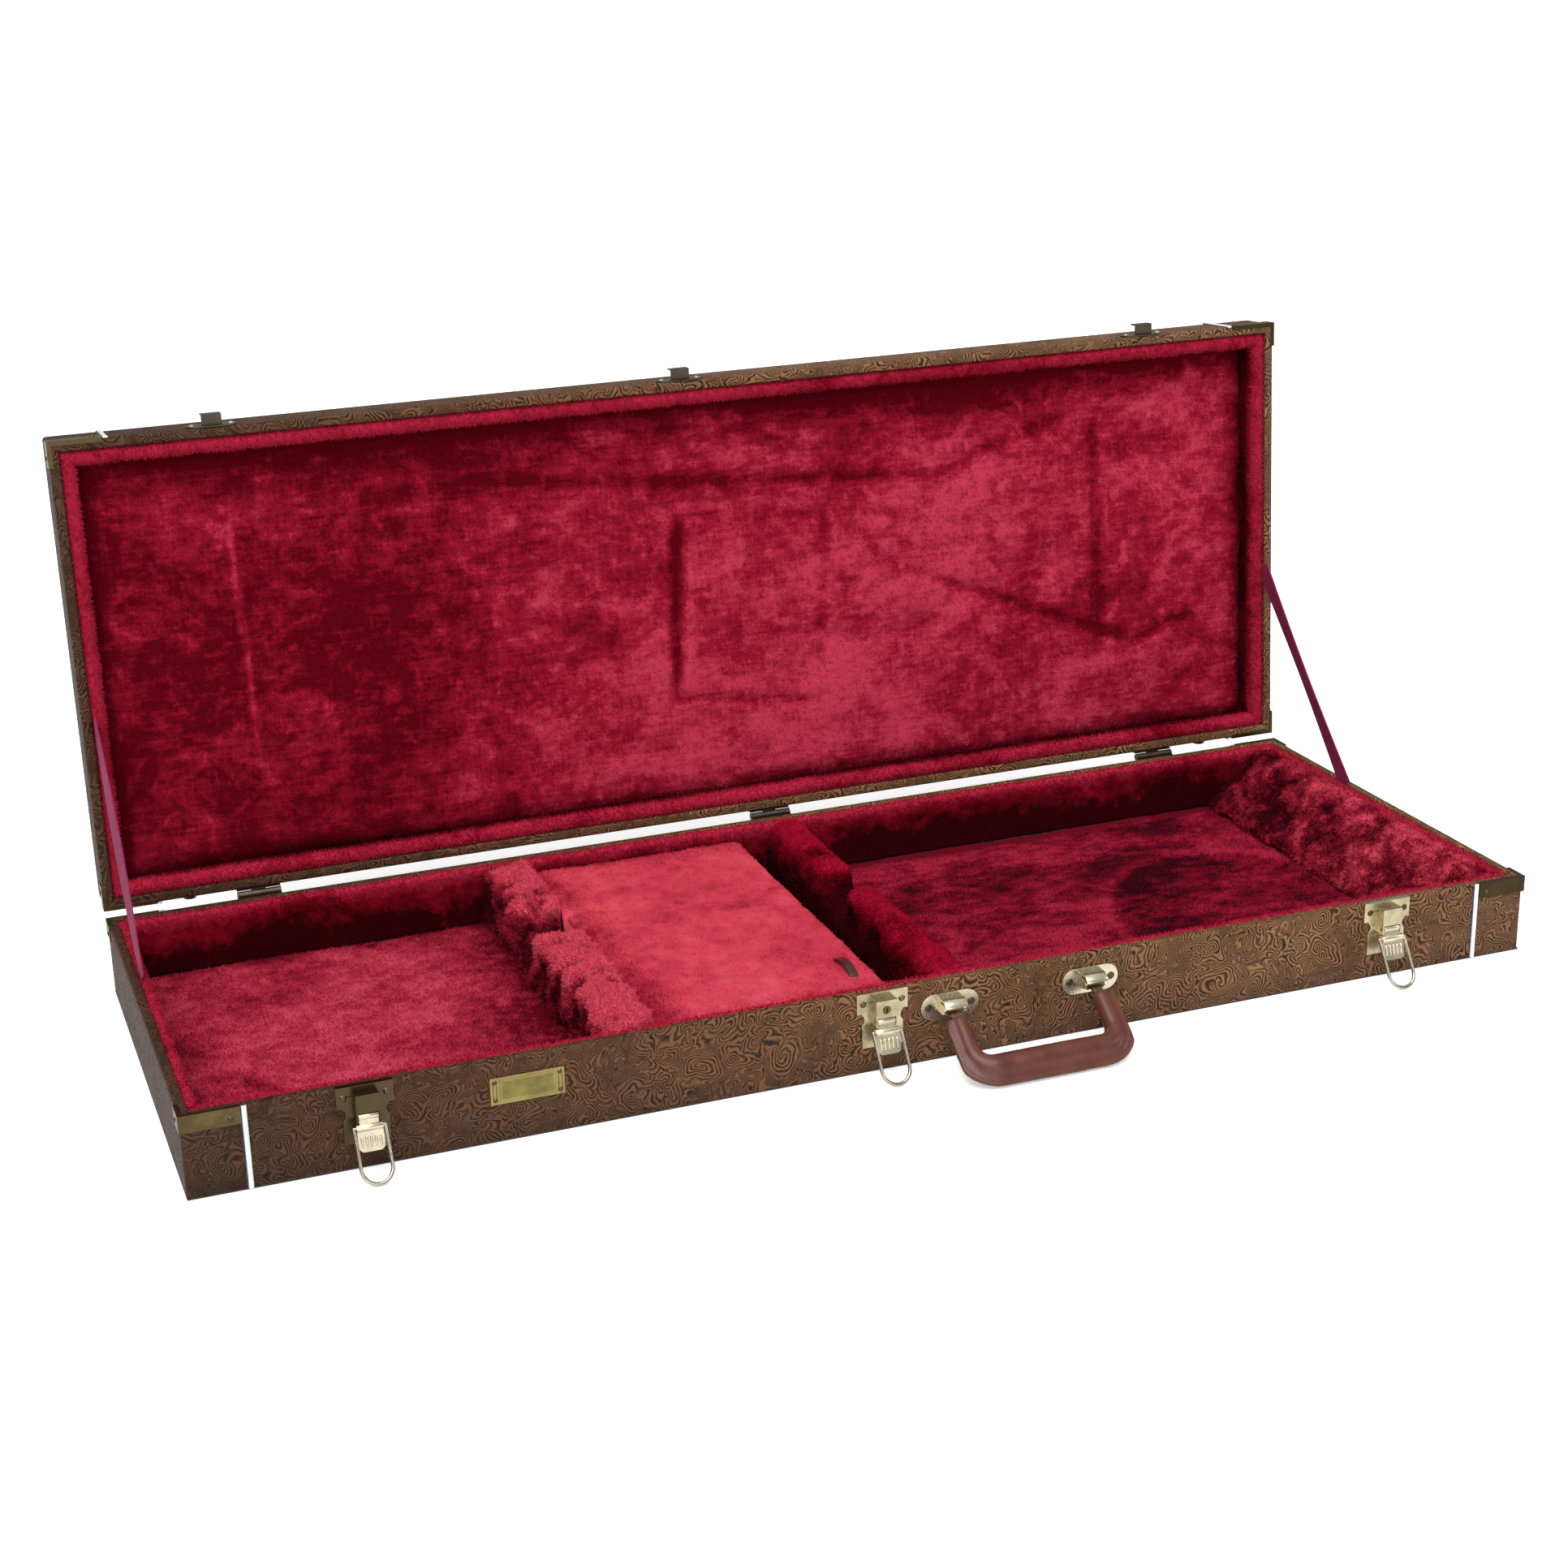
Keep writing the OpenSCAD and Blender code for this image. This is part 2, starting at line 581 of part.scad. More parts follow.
// The bridge's outline over the eye, its x outwards from the pivot and its y up.
module hood_outline() difference() {
    union() {
        circle(hood_r);
        translate([-handle_standoff, 0]) square([handle_standoff, hood_r]);
    }
    circle(eye_r + hood_gap);
    translate([-2 * hood_r, -2 * hood_r]) square([4 * hood_r, 2 * hood_r]);
    rotate(hood_stop) translate([0, -2 * hood_r]) square(2 * hood_r);
    translate([-handle_standoff - hood_r, -1]) square([hood_r, 3 * hood_r]);
}
module handle_end_plates() color(brass) for (s = [-1, 1]) difference() {
    on_front([handle_x + s * handle_span / 2, handle_z]) {
        linear_extrude(end_plate_t) {
            for (e = [-1, 1]) translate([e * (end_plate_w - end_plate_h) / 2, 0]) circle(end_plate_h / 2);
            square([end_plate_w - end_plate_h, end_plate_h], center = true);
        }
        translate([0, 0, handle_standoff]) x_rod(bar_r, bridge_w);
        translate([0, 0, handle_standoff]) rotate([0, -90, 0])
            linear_extrude(bridge_w, center = true) hood_outline();
        for (e = [-1, 1]) translate([e * (eye_w / 2 + move_gap + cheek_t / 2), 0, 0]) {
            translate([-cheek_t / 2, -4, 0]) cube([cheek_t, 8, handle_standoff]);
            translate([0, 0, handle_standoff]) x_rod(4, cheek_t);
        }
    }
    for (p = handle_screw_pts) on_front(p) shank_hole();
}
module handle_plate_screws() color(dark_brass)
    for (p = handle_screw_pts) on_front(p) fastener(end_plate_t, 3.2);
module handle_frame() translate([handle_x, handle_y, handle_z]) rotate([-handle_lean, 0, 0]) children();
leg_x = handle_span / 2;
core_z = grip_reach + core_w / 2;
module core_strap() {
    for (s = [-1, 1]) {
        translate([s * leg_x, 0, 0]) x_rod(eye_r, eye_w);
        translate([s * leg_x - core_w / 2, -core_t / 2, -core_z]) cube([core_w, core_t, core_z]);
    }
    translate([-leg_x, -core_t / 2, -core_z]) cube([2 * leg_x, core_t, core_w]);
}
module handle_core() color("gray") handle_frame() difference() {
    core_strap();
    for (s = [-1, 1]) translate([s * leg_x, 0, 0]) x_rod(bar_r + run_fit, 2 * eye_w);
}
leg_top = 9;
bend_r = grip_r + 7;
flange_w = 5;
module handle_grip() color(leather) handle_frame() difference() {
    union() {
        for (s = [-1, 1]) scale([s, 1, 1]) {
            translate([leg_x, 0, -grip_reach + bend_r])
                cylinder(r = leg_r, h = grip_reach - bend_r - leg_top);
            translate([leg_x - bend_r, 0, -grip_reach + bend_r]) rotate([90, 0, 0])
                rotate_extrude(angle = 90, start = 270) translate([bend_r, 0]) circle(leg_r + 1.5);
            translate([leg_x, -flange_t / 2, -grip_reach + bend_r])
                cube([leg_r + flange_w, flange_t, bend_r]);
            translate([leg_x - bend_r, flange_t / 2, -grip_reach + bend_r]) rotate([90, 0, 0])
                linear_extrude(flange_t) intersection() {
                    difference() {
                        circle(bend_r + flange_out);
                        circle(bend_r);
                    }
                    translate([0, -handle_reach]) square([bend_r + leg_r + flange_w, handle_reach]);
                }
        }
        translate([0, 0, -grip_reach]) x_rod(grip_r, 2 * (leg_x - bend_r));
        translate([-leg_x + bend_r, -flange_t / 2, -handle_reach])
            cube([2 * (leg_x - bend_r), flange_t, flange_out]);
    }
    core_strap();
}

// Hinges: a leaf on each half, three knuckles and a pin. The base carries the outer knuckles.
leaf_gap = 0.6;
knuckle_w = (hinge_w - 2 * move_gap) / 3;
module knuckle(x, up) translate([x, 0, axis_z]) {
    translate([0, axis_y, 0]) x_rod(knuckle_r, knuckle_w);
    translate([-knuckle_w / 2, back_y, up > 0 ? knuckle_r - plate_t : -knuckle_r])
        cube([knuckle_w, hinge_gap, plate_t]);
}
module leaf(up) translate([-hinge_w / 2, back_y, axis_z + (up > 0 ? leaf_gap : -leaf_h)])
    cube([hinge_w, plate_t, leaf_h - leaf_gap]);
module hinge_base_leaves() color(dark_brass) difference() {
    for (x = hinge_x) translate([x, 0, 0]) {
        leaf(-1);
        for (s = [-1, 1]) knuckle(s * (knuckle_w + move_gap), -1);
    }
    for (x = hinge_x) translate([x, axis_y, axis_z]) x_rod(hinge_pin_r, 2 * hinge_w);
    for (p = base_hinge_pts) on_back(p) shank_hole();
}
module hinge_pins() color(dark_brass)
    for (x = hinge_x) translate([x, axis_y, axis_z]) x_rod(hinge_pin_r, hinge_w);
module hinge_lid_leaves() color(dark_brass) open_lid() difference() {
    for (x = hinge_x) translate([x, 0, 0]) {
        leaf(1);
        knuckle(0, 1);
    }
    for (x = hinge_x) translate([x, axis_y, axis_z]) x_rod(hinge_pin_r + run_fit, 2 * hinge_w);
    for (p = lid_hinge_pts) on_back(p) shank_hole();
}
module spine_foot() {
    translate([0, 0, -shank_l]) cylinder(r = shank_r, h = shank_l);
    cylinder(r1 = 7, r2 = 5, h = 4);
}
module base_spine_feet() color(dark_brass) for (p = base_foot_pts) on_back(p) spine_foot();
module lid_spine_feet() color(dark_brass) open_lid() for (p = lid_foot_pts) on_back(p) spine_foot();

// Stay straps: taut ribbons from the base's rim to the open lid's rim.
module strap(x) {
    y0 = axis_y - strap_base_d;
    z0 = lining_top + 0.4;
    y1 = axis_y - strap_lid_d * cos(open_angle);
    z1 = axis_z + strap_lid_d * sin(open_angle);
    run = sqrt(pow(y1 - y0, 2) + pow(z1 - z0, 2));
    slope = atan2(z1 - z0, y1 - y0);
    difference() {
        translate([x - strap_t / 2, y0, z0]) rotate([slope, 0, 0]) translate([0, -strap_w, -strap_w / 2])
            cube([strap_t, run + 2 * strap_w, strap_w]);
        block([x - 5, y0 - 50, z0 - 50], [x + 5, y0 + 50, z0]);
        open_lid() block([x - 5, front_y - 50, lid_z0 + 0.6], [x + 5, back_y + 50, lid_z0 + 60]);
    }
}
module left_stay_strap() color("#7a2048") strap(-strap_x);
module right_stay_strap() color("#7a2048") strap(strap_x);

module lid_front_wall() color(ply) open_lid() difference() {
    long_wall(-1, lid_z0 + skin_t, lid_panel_z);
    lid_front_holes();
}
module lid_back_wall() color(ply) open_lid() difference() {
    long_wall(1, lid_z0 + skin_t, lid_panel_z);
    lid_back_holes();
}
module lid_left_wall() color(ply) open_lid() difference() {
    end_wall(-1, lid_z0 + skin_t, lid_panel_z);
    lid_end_holes();
}
module lid_right_wall() color(ply) open_lid() difference() {
    end_wall(1, lid_z0 + skin_t, lid_panel_z);
    lid_end_holes();
}
module lid_top_panel() color(ply) open_lid()
    block([-end_x + skin_t, front_y + skin_t, lid_panel_z],
        [end_x - skin_t, back_y - skin_t, lid_z1 - skin_t]);
module lid_side_lining() color(plush) open_lid() lining_ring(lid_z0 + 1, lid_panel_z);
module lid_panel_pad() color(plush) open_lid()
    block([-room_x + lid_pad_inset, -room_y + lid_pad_inset, lid_pad_z],
        [room_x - lid_pad_inset, room_y - lid_pad_inset, lid_panel_z]);

// Lid catches: an oval plate under the rim's edge, with an upturned hook for the bail.
catch_h = 15;
hook_t = 2.2;
hook_d = 10;
hook_lip_t = 1.4;
hook_lip_h = 9.5;
hook_z = lid_z0 + 5.2;
module catch_plates() color(brass) open_lid() for (x = latch_x) difference() {
    on_front([x, lid_z0]) linear_extrude(plate_t) {
        translate([0, catch_h / 2 + 1]) {
            for (e = [-1, 1]) translate([e * (latch_w - catch_h) / 2, 0]) circle(catch_h / 2);
            square([latch_w - catch_h, catch_h], center = true);
        }
        translate([-hook_w / 2, 0]) square([hook_w, 4]);
    }
    for (p = catch_pts) on_front(p) shank_hole();
}
module catch_hooks() color(dark_brass) open_lid() for (x = latch_x) {
    block([x - hook_w / 2, front_y - hook_d, hook_z], [x + hook_w / 2, front_y - plate_t, hook_z + hook_t]);
    block([x - hook_w / 2, front_y - hook_d, hook_z],
        [x + hook_w / 2, front_y - hook_d + hook_lip_t, hook_z + hook_lip_h]);
}
module lid_rivets() color(brass) open_lid() {
    for (p = catch_pts) on_front(p) fastener(plate_t);
    for (p = lid_hinge_pts) on_back(p) fastener(plate_t);
}

base_front_wall();
base_back_wall();
base_left_wall();
base_right_wall();
base_bottom_panel();
base_covering();
base_bottom_sheet();
base_piping();
base_side_lining();
base_floor_lining();
left_neck_cradle();
right_neck_cradle();
compartment_divider();
body_floor_pad();
end_pad();
base_corner_brackets();
base_bracket_nails();
latch_plates();
latch_housings();
lever_pins();
base_rivets();
name_plate();
name_plate_pins();
handle_end_plates();
handle_plate_screws();
hinge_base_leaves();
hinge_pins();
base_spine_feet();
left_stay_strap();
right_stay_strap();
compartment_flap();
flap_pull_tab();
latch_lever_left();
latch_lever_middle();
latch_lever_right();
latch_bail_left();
latch_bail_middle();
latch_bail_right();
lock_core();
handle_core();
handle_grip();
lid_front_wall();
lid_back_wall();
lid_left_wall();
lid_right_wall();
lid_top_panel();
lid_covering();
lid_piping();
lid_side_lining();
lid_panel_pad();
lid_corner_brackets();
lid_bracket_nails();
catch_plates();
catch_hooks();
lid_rivets();
hinge_lid_leaves();
lid_spine_feet();
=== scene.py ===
import json
import math
import bmesh
import bpy
import numpy as np
from mathutils import Matrix, Vector, noise


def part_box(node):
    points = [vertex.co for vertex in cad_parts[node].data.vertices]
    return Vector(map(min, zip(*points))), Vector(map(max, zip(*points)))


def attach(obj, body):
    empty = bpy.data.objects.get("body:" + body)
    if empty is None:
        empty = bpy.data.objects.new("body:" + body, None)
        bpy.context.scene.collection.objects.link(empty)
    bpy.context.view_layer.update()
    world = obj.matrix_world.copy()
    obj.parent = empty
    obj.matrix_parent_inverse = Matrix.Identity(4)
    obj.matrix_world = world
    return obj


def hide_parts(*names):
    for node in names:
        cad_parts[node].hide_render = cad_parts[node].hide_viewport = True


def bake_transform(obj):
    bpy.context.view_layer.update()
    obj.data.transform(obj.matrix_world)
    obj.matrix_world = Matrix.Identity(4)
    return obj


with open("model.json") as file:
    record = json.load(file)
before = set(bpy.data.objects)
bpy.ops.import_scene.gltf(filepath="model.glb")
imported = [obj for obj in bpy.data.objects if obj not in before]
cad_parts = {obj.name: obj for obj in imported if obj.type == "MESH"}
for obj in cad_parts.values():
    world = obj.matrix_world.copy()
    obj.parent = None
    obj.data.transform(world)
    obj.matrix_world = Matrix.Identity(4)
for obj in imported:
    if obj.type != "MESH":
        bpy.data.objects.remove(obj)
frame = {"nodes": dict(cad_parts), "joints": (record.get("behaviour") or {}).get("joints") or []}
NODES = frame["nodes"]
MM = 0.001


def all_bounds():
    """Lowest and highest corner of all CAD nodes, as plain lists."""
    boxes = [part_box(n) for n in NODES]
    corners = ((min, 0), (max, 1))
    return [[pick(box[end][axis] for box in boxes) for axis in range(3)] for pick, end in corners]


CAD_BOUNDS = all_bounds()


def pivot_of(joint):
    return Vector(next(j for j in frame["joints"] if j["name"] == joint)["pos_m"])


# Sizes in metres. The case's own come from the CAD nodes; the rest are what the CAD was drawn with.
END_X, BACK_Y, BASE_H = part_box("base_covering")[1]
RIM_T, LINING_T, PANEL_T, LID_H, SEAM = 8 * MM, 4 * MM, 6 * MM, 44 * MM, 1 * MM
COVER_R, SKIN_T, BEAD_R, CORNER_R = 2.4 * MM, 1 * MM, 1.5 * MM, 3 * MM
PLAY = 0.2 * MM
SQUARE = ((-1, -1), (1, -1), (1, 1), (-1, 1))
IN_X, IN_Y = END_X - RIM_T, BACK_Y - RIM_T
ROOM_X, ROOM_Y = IN_X - LINING_T, IN_Y - LINING_T
FLOOR_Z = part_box("base_floor_lining")[1].z
NOTCH_Y = {"left": 43 * MM, "right": 27 * MM}
# The lid is drawn closed, from its rim up to its top, and then turned open about its hinge.
LID_Z0 = BASE_H + SEAM
LID_Z1 = LID_Z0 + LID_H
LID_PANEL_Z = LID_Z1 - PANEL_T
LID_OPEN = math.radians(94)
AXIS = pivot_of("lid_hinge")
LID_TURN = Matrix.Translation(AXIS) @ Matrix.Rotation(-LID_OPEN, 4, "X") @ Matrix.Translation(-AXIS)


# ---------------------------------------------------------------- shader helpers
class Shade:
    """A material's node tree, built one node at a time."""

    def __init__(self, name):
        self.mat = bpy.data.materials.new(name)
        self.mat.use_nodes = True
        self.tree = self.mat.node_tree
        self.bsdf = self.tree.nodes["Principled BSDF"]

    def node(self, kind, **props):
        n = self.tree.nodes.new(kind)
        for key, value in props.items():
            setattr(n, key, value)
        return n

    def put(self, socket, value):
        if isinstance(value, bpy.types.NodeSocket):
            self.tree.links.new(value, socket)
        else:
            socket.default_value = value

    def set(self, **values):
        for key, value in values.items():
            self.put(self.bsdf.inputs[key.replace("_", " ")], value)

    def coords(self, scale=(1, 1, 1), kind="Object"):
        tex = self.node("ShaderNodeTexCoord")
        mapping = self.node("ShaderNodeMapping")
        self.put(mapping.inputs["Vector"], tex.outputs[kind])
        mapping.inputs["Scale"].default_value = scale
        return mapping.outputs["Vector"]

    def noise(self, vec, scale, detail=3, rough=0.55, warp=0.0, out="Fac"):
        n = self.node("ShaderNodeTexNoise")
        self.put(n.inputs["Vector"], vec)
        n.inputs["Scale"].default_value = scale
        n.inputs["Detail"].default_value = detail
        n.inputs["Roughness"].default_value = rough
        n.inputs["Distortion"].default_value = warp
        return n.outputs[out]

    def math(self, op, a, b=0.0, c=0.0, clamp=False):
        n = self.node("ShaderNodeMath", operation=op, use_clamp=clamp)
        for socket, value in zip(n.inputs, (a, b, c)):
            self.put(socket, value)
        return n.outputs[0]

    def vmath(self, op, a, b=(0, 0, 0), out=0):
        n = self.node("ShaderNodeVectorMath", operation=op)
        self.put(n.inputs[0], a)
        self.put(n.inputs[1], b)
        return n.outputs[out]

    def remap(self, value, lo, hi, to_lo=0.0, to_hi=1.0):
        n = self.node("ShaderNodeMapRange")
        names = ("Value", "From Min", "From Max", "To Min", "To Max")
        for key, v in zip(names, (value, lo, hi, to_lo, to_hi)):
            self.put(n.inputs[key], v)
        return n.outputs[0]

    def ramp(self, fac, stops):
        n = self.node("ShaderNodeValToRGB")
        while len(n.color_ramp.elements) < len(stops):
            n.color_ramp.elements.new(0.5)
        for element, (position, colour) in zip(n.color_ramp.elements, stops):
            element.position = position
            element.color = (*colour, 1)
        self.put(n.inputs["Fac"], fac)
        return n.outputs["Color"]

    def axes(self, vec):
        n = self.node("ShaderNodeSeparateXYZ")
        self.put(n.inputs[0], vec)
        return n.outputs

    def cells(self, vec, scale, **props):
        n = self.node("ShaderNodeTexVoronoi", **props)
        self.put(n.inputs["Vector"], vec)
        n.inputs["Scale"].default_value = scale
        return n.outputs

    def shifted(self, vec, offset, reach):
        """A place moved by a coloured noise, up to half of reach each way."""
        centred = self.vmath("SUBTRACT", offset, (0.5, 0.5, 0.5))
        moved = self.vmath("MULTIPLY_ADD", centred, (reach, reach, reach))
        self.put(moved.node.inputs[2], vec)
        return moved

    def add(self, value, weight, total):
        return self.math("MULTIPLY_ADD", value, weight, total)

    def bump(self, height, distance, strength=1.0):
        n = self.node("ShaderNodeBump")
        n.inputs["Strength"].default_value = strength
        n.inputs["Distance"].default_value = distance
        self.put(n.inputs["Height"], height)
        self.put(self.bsdf.inputs["Normal"], n.outputs["Normal"])


def plush_material(name, dark, mid, light, stretch=(1, 1, 1), spread=1.0, brushed=False):
    """Crushed pile: broad brushed patches, finer tufts, and a tone painted on the mesh that holds the crushed
    pile with painted light and shade.
    """
    s = Shade(name)
    vec = s.coords(stretch)
    broad, patch = s.noise(vec, 6.5, 2, 0.5, 0.6), s.noise(vec, 24, 4, 0.6, 0.9)
    tuft, fibre = s.noise(vec, 95, 3, 0.6, 0.3), s.noise(s.coords(), 620, 2, 0.6)
    total = s.add(broad, 0.26, s.math("MULTIPLY", patch, 0.34))
    total = s.add(fibre, 0.16, s.add(tuft, 0.24, total))
    total = s.remap(total, 0.5 - 0.13 / spread, 0.5 + 0.13 / spread)
    if brushed:
        # Woven lines along the case, a coarser grain across it, and scattered light flecks.
        for weave, weight in (((22, 330, 330), 0.55), ((330, 45, 45), 0.4)):
            line = s.noise(s.coords(weave), 1, 2, 0.6)
            total = s.add(s.math("SUBTRACT", line, 0.5), weight, total)
        total = s.add(s.remap(s.noise(s.coords(), 80, 2, 0.6), 0.58, 0.72), 0.28, total)
    # The painted attribute holds both the crushed pile's tone and painted light and shade.
    nap_and_shade = s.node("ShaderNodeAttribute", attribute_name="nap_and_shade").outputs["Fac"]
    total = s.math("ADD", total, nap_and_shade, clamp=True)
    s.set(Base_Color=s.ramp(total, [(0.0, dark), (0.5, mid), (1.0, light)]), Roughness=0.92)
    s.set(Sheen_Weight=0.05, Sheen_Roughness=0.4, Sheen_Tint=(1, 0.25, 0.35, 1), Specular_IOR_Level=0.04)
    height = s.add(tuft, 0.6, s.math("MULTIPLY", fibre, 0.3))
    s.bump(s.add(patch, 0.5, height), 2.2 * MM, 0.75)
    return s.mat


def vinyl_material(name):
    """Embossed scrollwork: whorls round scattered centres over flowing parallel grooves."""
    s = Shade(name)
    vec = s.coords(kind="UV")
    drift, ripple = (s.noise(vec, scale, 1, 0.5, 0.0, "Color") for scale in (34, 130))
    warped = s.shifted(s.shifted(vec, ripple, 0.0045), drift, 0.03)

    def whorls(scale, turns, arms):
        """Waves winding round each cell's centre, either way, and the distance from it."""
        cell = s.cells(warped, scale, voronoi_dimensions="2D")
        x, y, _ = s.axes(s.vmath("SUBTRACT", warped, cell["Position"]))
        flat = s.node("ShaderNodeCombineXYZ")
        s.put(flat.inputs[0], x)
        s.put(flat.inputs[1], y)
        radius = s.vmath("LENGTH", flat.outputs[0], out=1)
        side, start, _ = s.axes(cell["Color"])
        way = s.math("SIGN", s.math("SUBTRACT", side, 0.5))
        angle = s.math("MULTIPLY", s.math("ARCTAN2", y, x), way)
        turning = s.add(angle, arms, s.math("MULTIPLY", start, 6.28))
        return s.math("SINE", s.add(radius, turns, turning)), cell["Distance"]

    big, away = whorls(29, 2400, 2)
    petals, _ = whorls(74, 1600, 5)
    lines = s.math("SINE", s.math("MULTIPLY", s.noise(warped, 40, 1.5, 0.4, 1.0), 250))
    core = s.remap(away, 0.3, 0.46, 1.0, 0.0)
    mixed = s.add(s.math("SUBTRACT", big, lines), core, lines)
    petal_mask = s.remap(s.noise(vec, 24, 1, 0.5), 0.5, 0.56)
    mixed = s.add(s.math("SUBTRACT", petals, mixed), petal_mask, mixed)
    mixed = s.math("MULTIPLY", mixed, s.remap(s.noise(vec, 120, 1, 0.5), 0.36, 0.58, 0.3, 1.0))
    height = s.remap(mixed, -0.95, 0.3)
    grit, broad = s.noise(vec, 800, 2, 0.6), s.noise(vec, 14, 3, 0.6)
    wear = s.add(broad, 0.6, s.math("MULTIPLY", grit, 0.35))
    shade = s.math("MULTIPLY_ADD", height, 0.72, s.add(wear, 0.5, -0.1), clamp=True)
    # Darker towards the case's left end.
    shade = s.math("MULTIPLY", shade, s.remap(s.axes(s.coords())[0], -0.5, 0.0, 0.6, 1.0))
    stops = [(0.0, (0.008, 0.003, 0.0015)), (0.3, (0.03, 0.012, 0.005)), (0.6, (0.1, 0.04, 0.015)),
        (0.82, (0.18, 0.082, 0.033)), (1.0, (0.36, 0.2, 0.09))]
    s.set(Base_Color=s.ramp(shade, stops), Specular_IOR_Level=0.2)
    s.set(Roughness=s.remap(height, 0.0, 1.0, 0.7, 0.5))
    s.bump(s.add(grit, 0.12, height), 0.6 * MM, 1.0)
    return s.mat


def metal_material(name, colour, rough, worn=0.06, patina=0.0, left_end=1.0, right_end=1.0):
    """Worn metal; left_end and right_end below 1 make it darker towards the case's ends."""
    s = Shade(name)
    vec = s.coords()
    cloud, speck = s.noise(vec, 70, 4, 0.6), s.noise(vec, 700, 2, 0.5)
    along = s.axes(vec)[0]
    brightness = s.remap(cloud, 0.35, 0.65, 0.72, 1.0)
    brightness = s.math("MULTIPLY", brightness, s.remap(along, -0.4, 0.0, left_end, 1.0))
    brightness = s.math("MULTIPLY", brightness, s.remap(along, 0.1, 0.5, 1.0, right_end))
    dull = tuple(c * (1 - patina) for c in colour)
    darkest = tuple(c * part for c, part in zip(colour, (0.085, 0.062, 0.04)))
    s.set(Base_Color=s.ramp(brightness, [(0.0, darkest), (0.72, dull), (1.0, colour)]), Metallic=1.0)
    s.set(Roughness=s.remap(speck, 0.3, 0.7, max(0.04, rough - worn), rough + worn))
    s.bump(speck, 0.02 * MM, 0.1)
    return s.mat


def leather_material(name, colour, light):
    s = Shade(name)
    vec = s.coords()
    cloud = s.noise(vec, 45, 3, 0.6)
    creases = s.cells(vec, 900, feature="DISTANCE_TO_EDGE")["Distance"]
    s.set(Base_Color=s.ramp(cloud, [(0.25, colour), (0.8, light)]), Specular_IOR_Level=0.38)
    s.set(Roughness=s.remap(cloud, 0.3, 0.7, 0.27, 0.38))
    s.bump(s.remap(creases, 0.0, 0.12), 0.08 * MM, 0.25)
    return s.mat


def ribbon_material(name, colour):
    s = Shade(name)
    vec = s.coords()
    weave = s.node("ShaderNodeTexWave", bands_direction="Z")
    s.put(weave.inputs["Vector"], vec)
    weave.inputs["Scale"].default_value = 420
    cloud = s.noise(vec, 60, 2)
    shade = s.add(weave.outputs["Fac"], 0.35, s.math("MULTIPLY", cloud, 0.6))
    dark, light = (tuple(c * part for c in colour) for part in (0.7, 1.35))
    s.set(Base_Color=s.ramp(shade, [(0.2, dark), (0.8, light)]))
    s.set(Roughness=0.7, Sheen_Weight=0.05, Specular_IOR_Level=0.2)
    s.bump(weave.outputs["Fac"], 0.2 * MM, 0.5)
    return s.mat


def plain_material(name, colour, rough):
    """A smooth surface with faint darker clouds."""
    s = Shade(name)
    cloud = s.noise(s.coords(), 40, 4)
    s.set(Base_Color=s.ramp(cloud, [(0.3, tuple(c * 0.88 for c in colour)), (0.7, colour)]), Roughness=rough)
    return s.mat


def floor_material(name):
    """Pale floor, brightened for the camera so that soft shadows stay faint."""
    s = Shade(name)
    tone = s.noise(s.coords(), 3, 1)
    ray = s.node("ShaderNodeLightPath")
    s.set(Base_Color=s.ramp(tone, [(0.0, (0.9, 0.9, 0.9)), (1.0, (0.94, 0.94, 0.94))]))
    s.set(Roughness=0.85, Specular_IOR_Level=0.1, Emission_Color=(1, 1, 1, 1))
    s.set(Emission_Strength=s.math("MULTIPLY", ray.outputs["Is Camera Ray"], 0.42))
    return s.mat


def wood_material(name):
    s = Shade(name)
    vec = s.coords((1, 14, 14))
    grain = s.noise(vec, 9, 5, 0.6, 1.5)
    s.set(Base_Color=s.ramp(grain, [(0.3, (0.36, 0.22, 0.11)), (0.7, (0.62, 0.44, 0.26))]), Roughness=0.7)
    s.bump(grain, 0.2 * MM, 0.3)
    return s.mat


# Colours of the plushes, from the crushed pile's dark to its light side.
PLUSH = {
    "plush": ("plush_walls", (0.03, 0.0002, 0.002), (0.21, 0.002, 0.012), (0.4, 0.016, 0.045)),
    "plush_lid": ("plush_lid", (0.1, 0.0003, 0.005), (0.27, 0.006, 0.022), (0.48, 0.036, 0.075),
        (0.8, 1, 1.1), 1.15, True),
    "plush_head": ("plush_head", (0.12, 0.001, 0.009), (0.35, 0.017, 0.042), (0.52, 0.055, 0.095),
        (1, 1, 1), 1.2),
    "plush_body": ("plush_body", (0.03, 0.0003, 0.004), (0.17, 0.0025, 0.015), (0.31, 0.014, 0.038),
        (0.6, 1, 1), 1.7),
    "plush_cradle": ("plush_cradle", (0.05, 0.0005, 0.005), (0.3, 0.012, 0.031), (0.6, 0.066, 0.105),
        (1.4, 1.4, 1.4), 1.5),
    "plush_deep": ("plush_deep", (0.03, 0.0001, 0.002), (0.18, 0.0003, 0.008), (0.34, 0.004, 0.026),
        (1, 1, 1), 1.2),
    "plush_flap": ("plush_flap", (0.28, 0.01, 0.028), (0.51, 0.042, 0.07), (0.6, 0.075, 0.11),
        (0.6, 0.5, 1), 1.0),
}
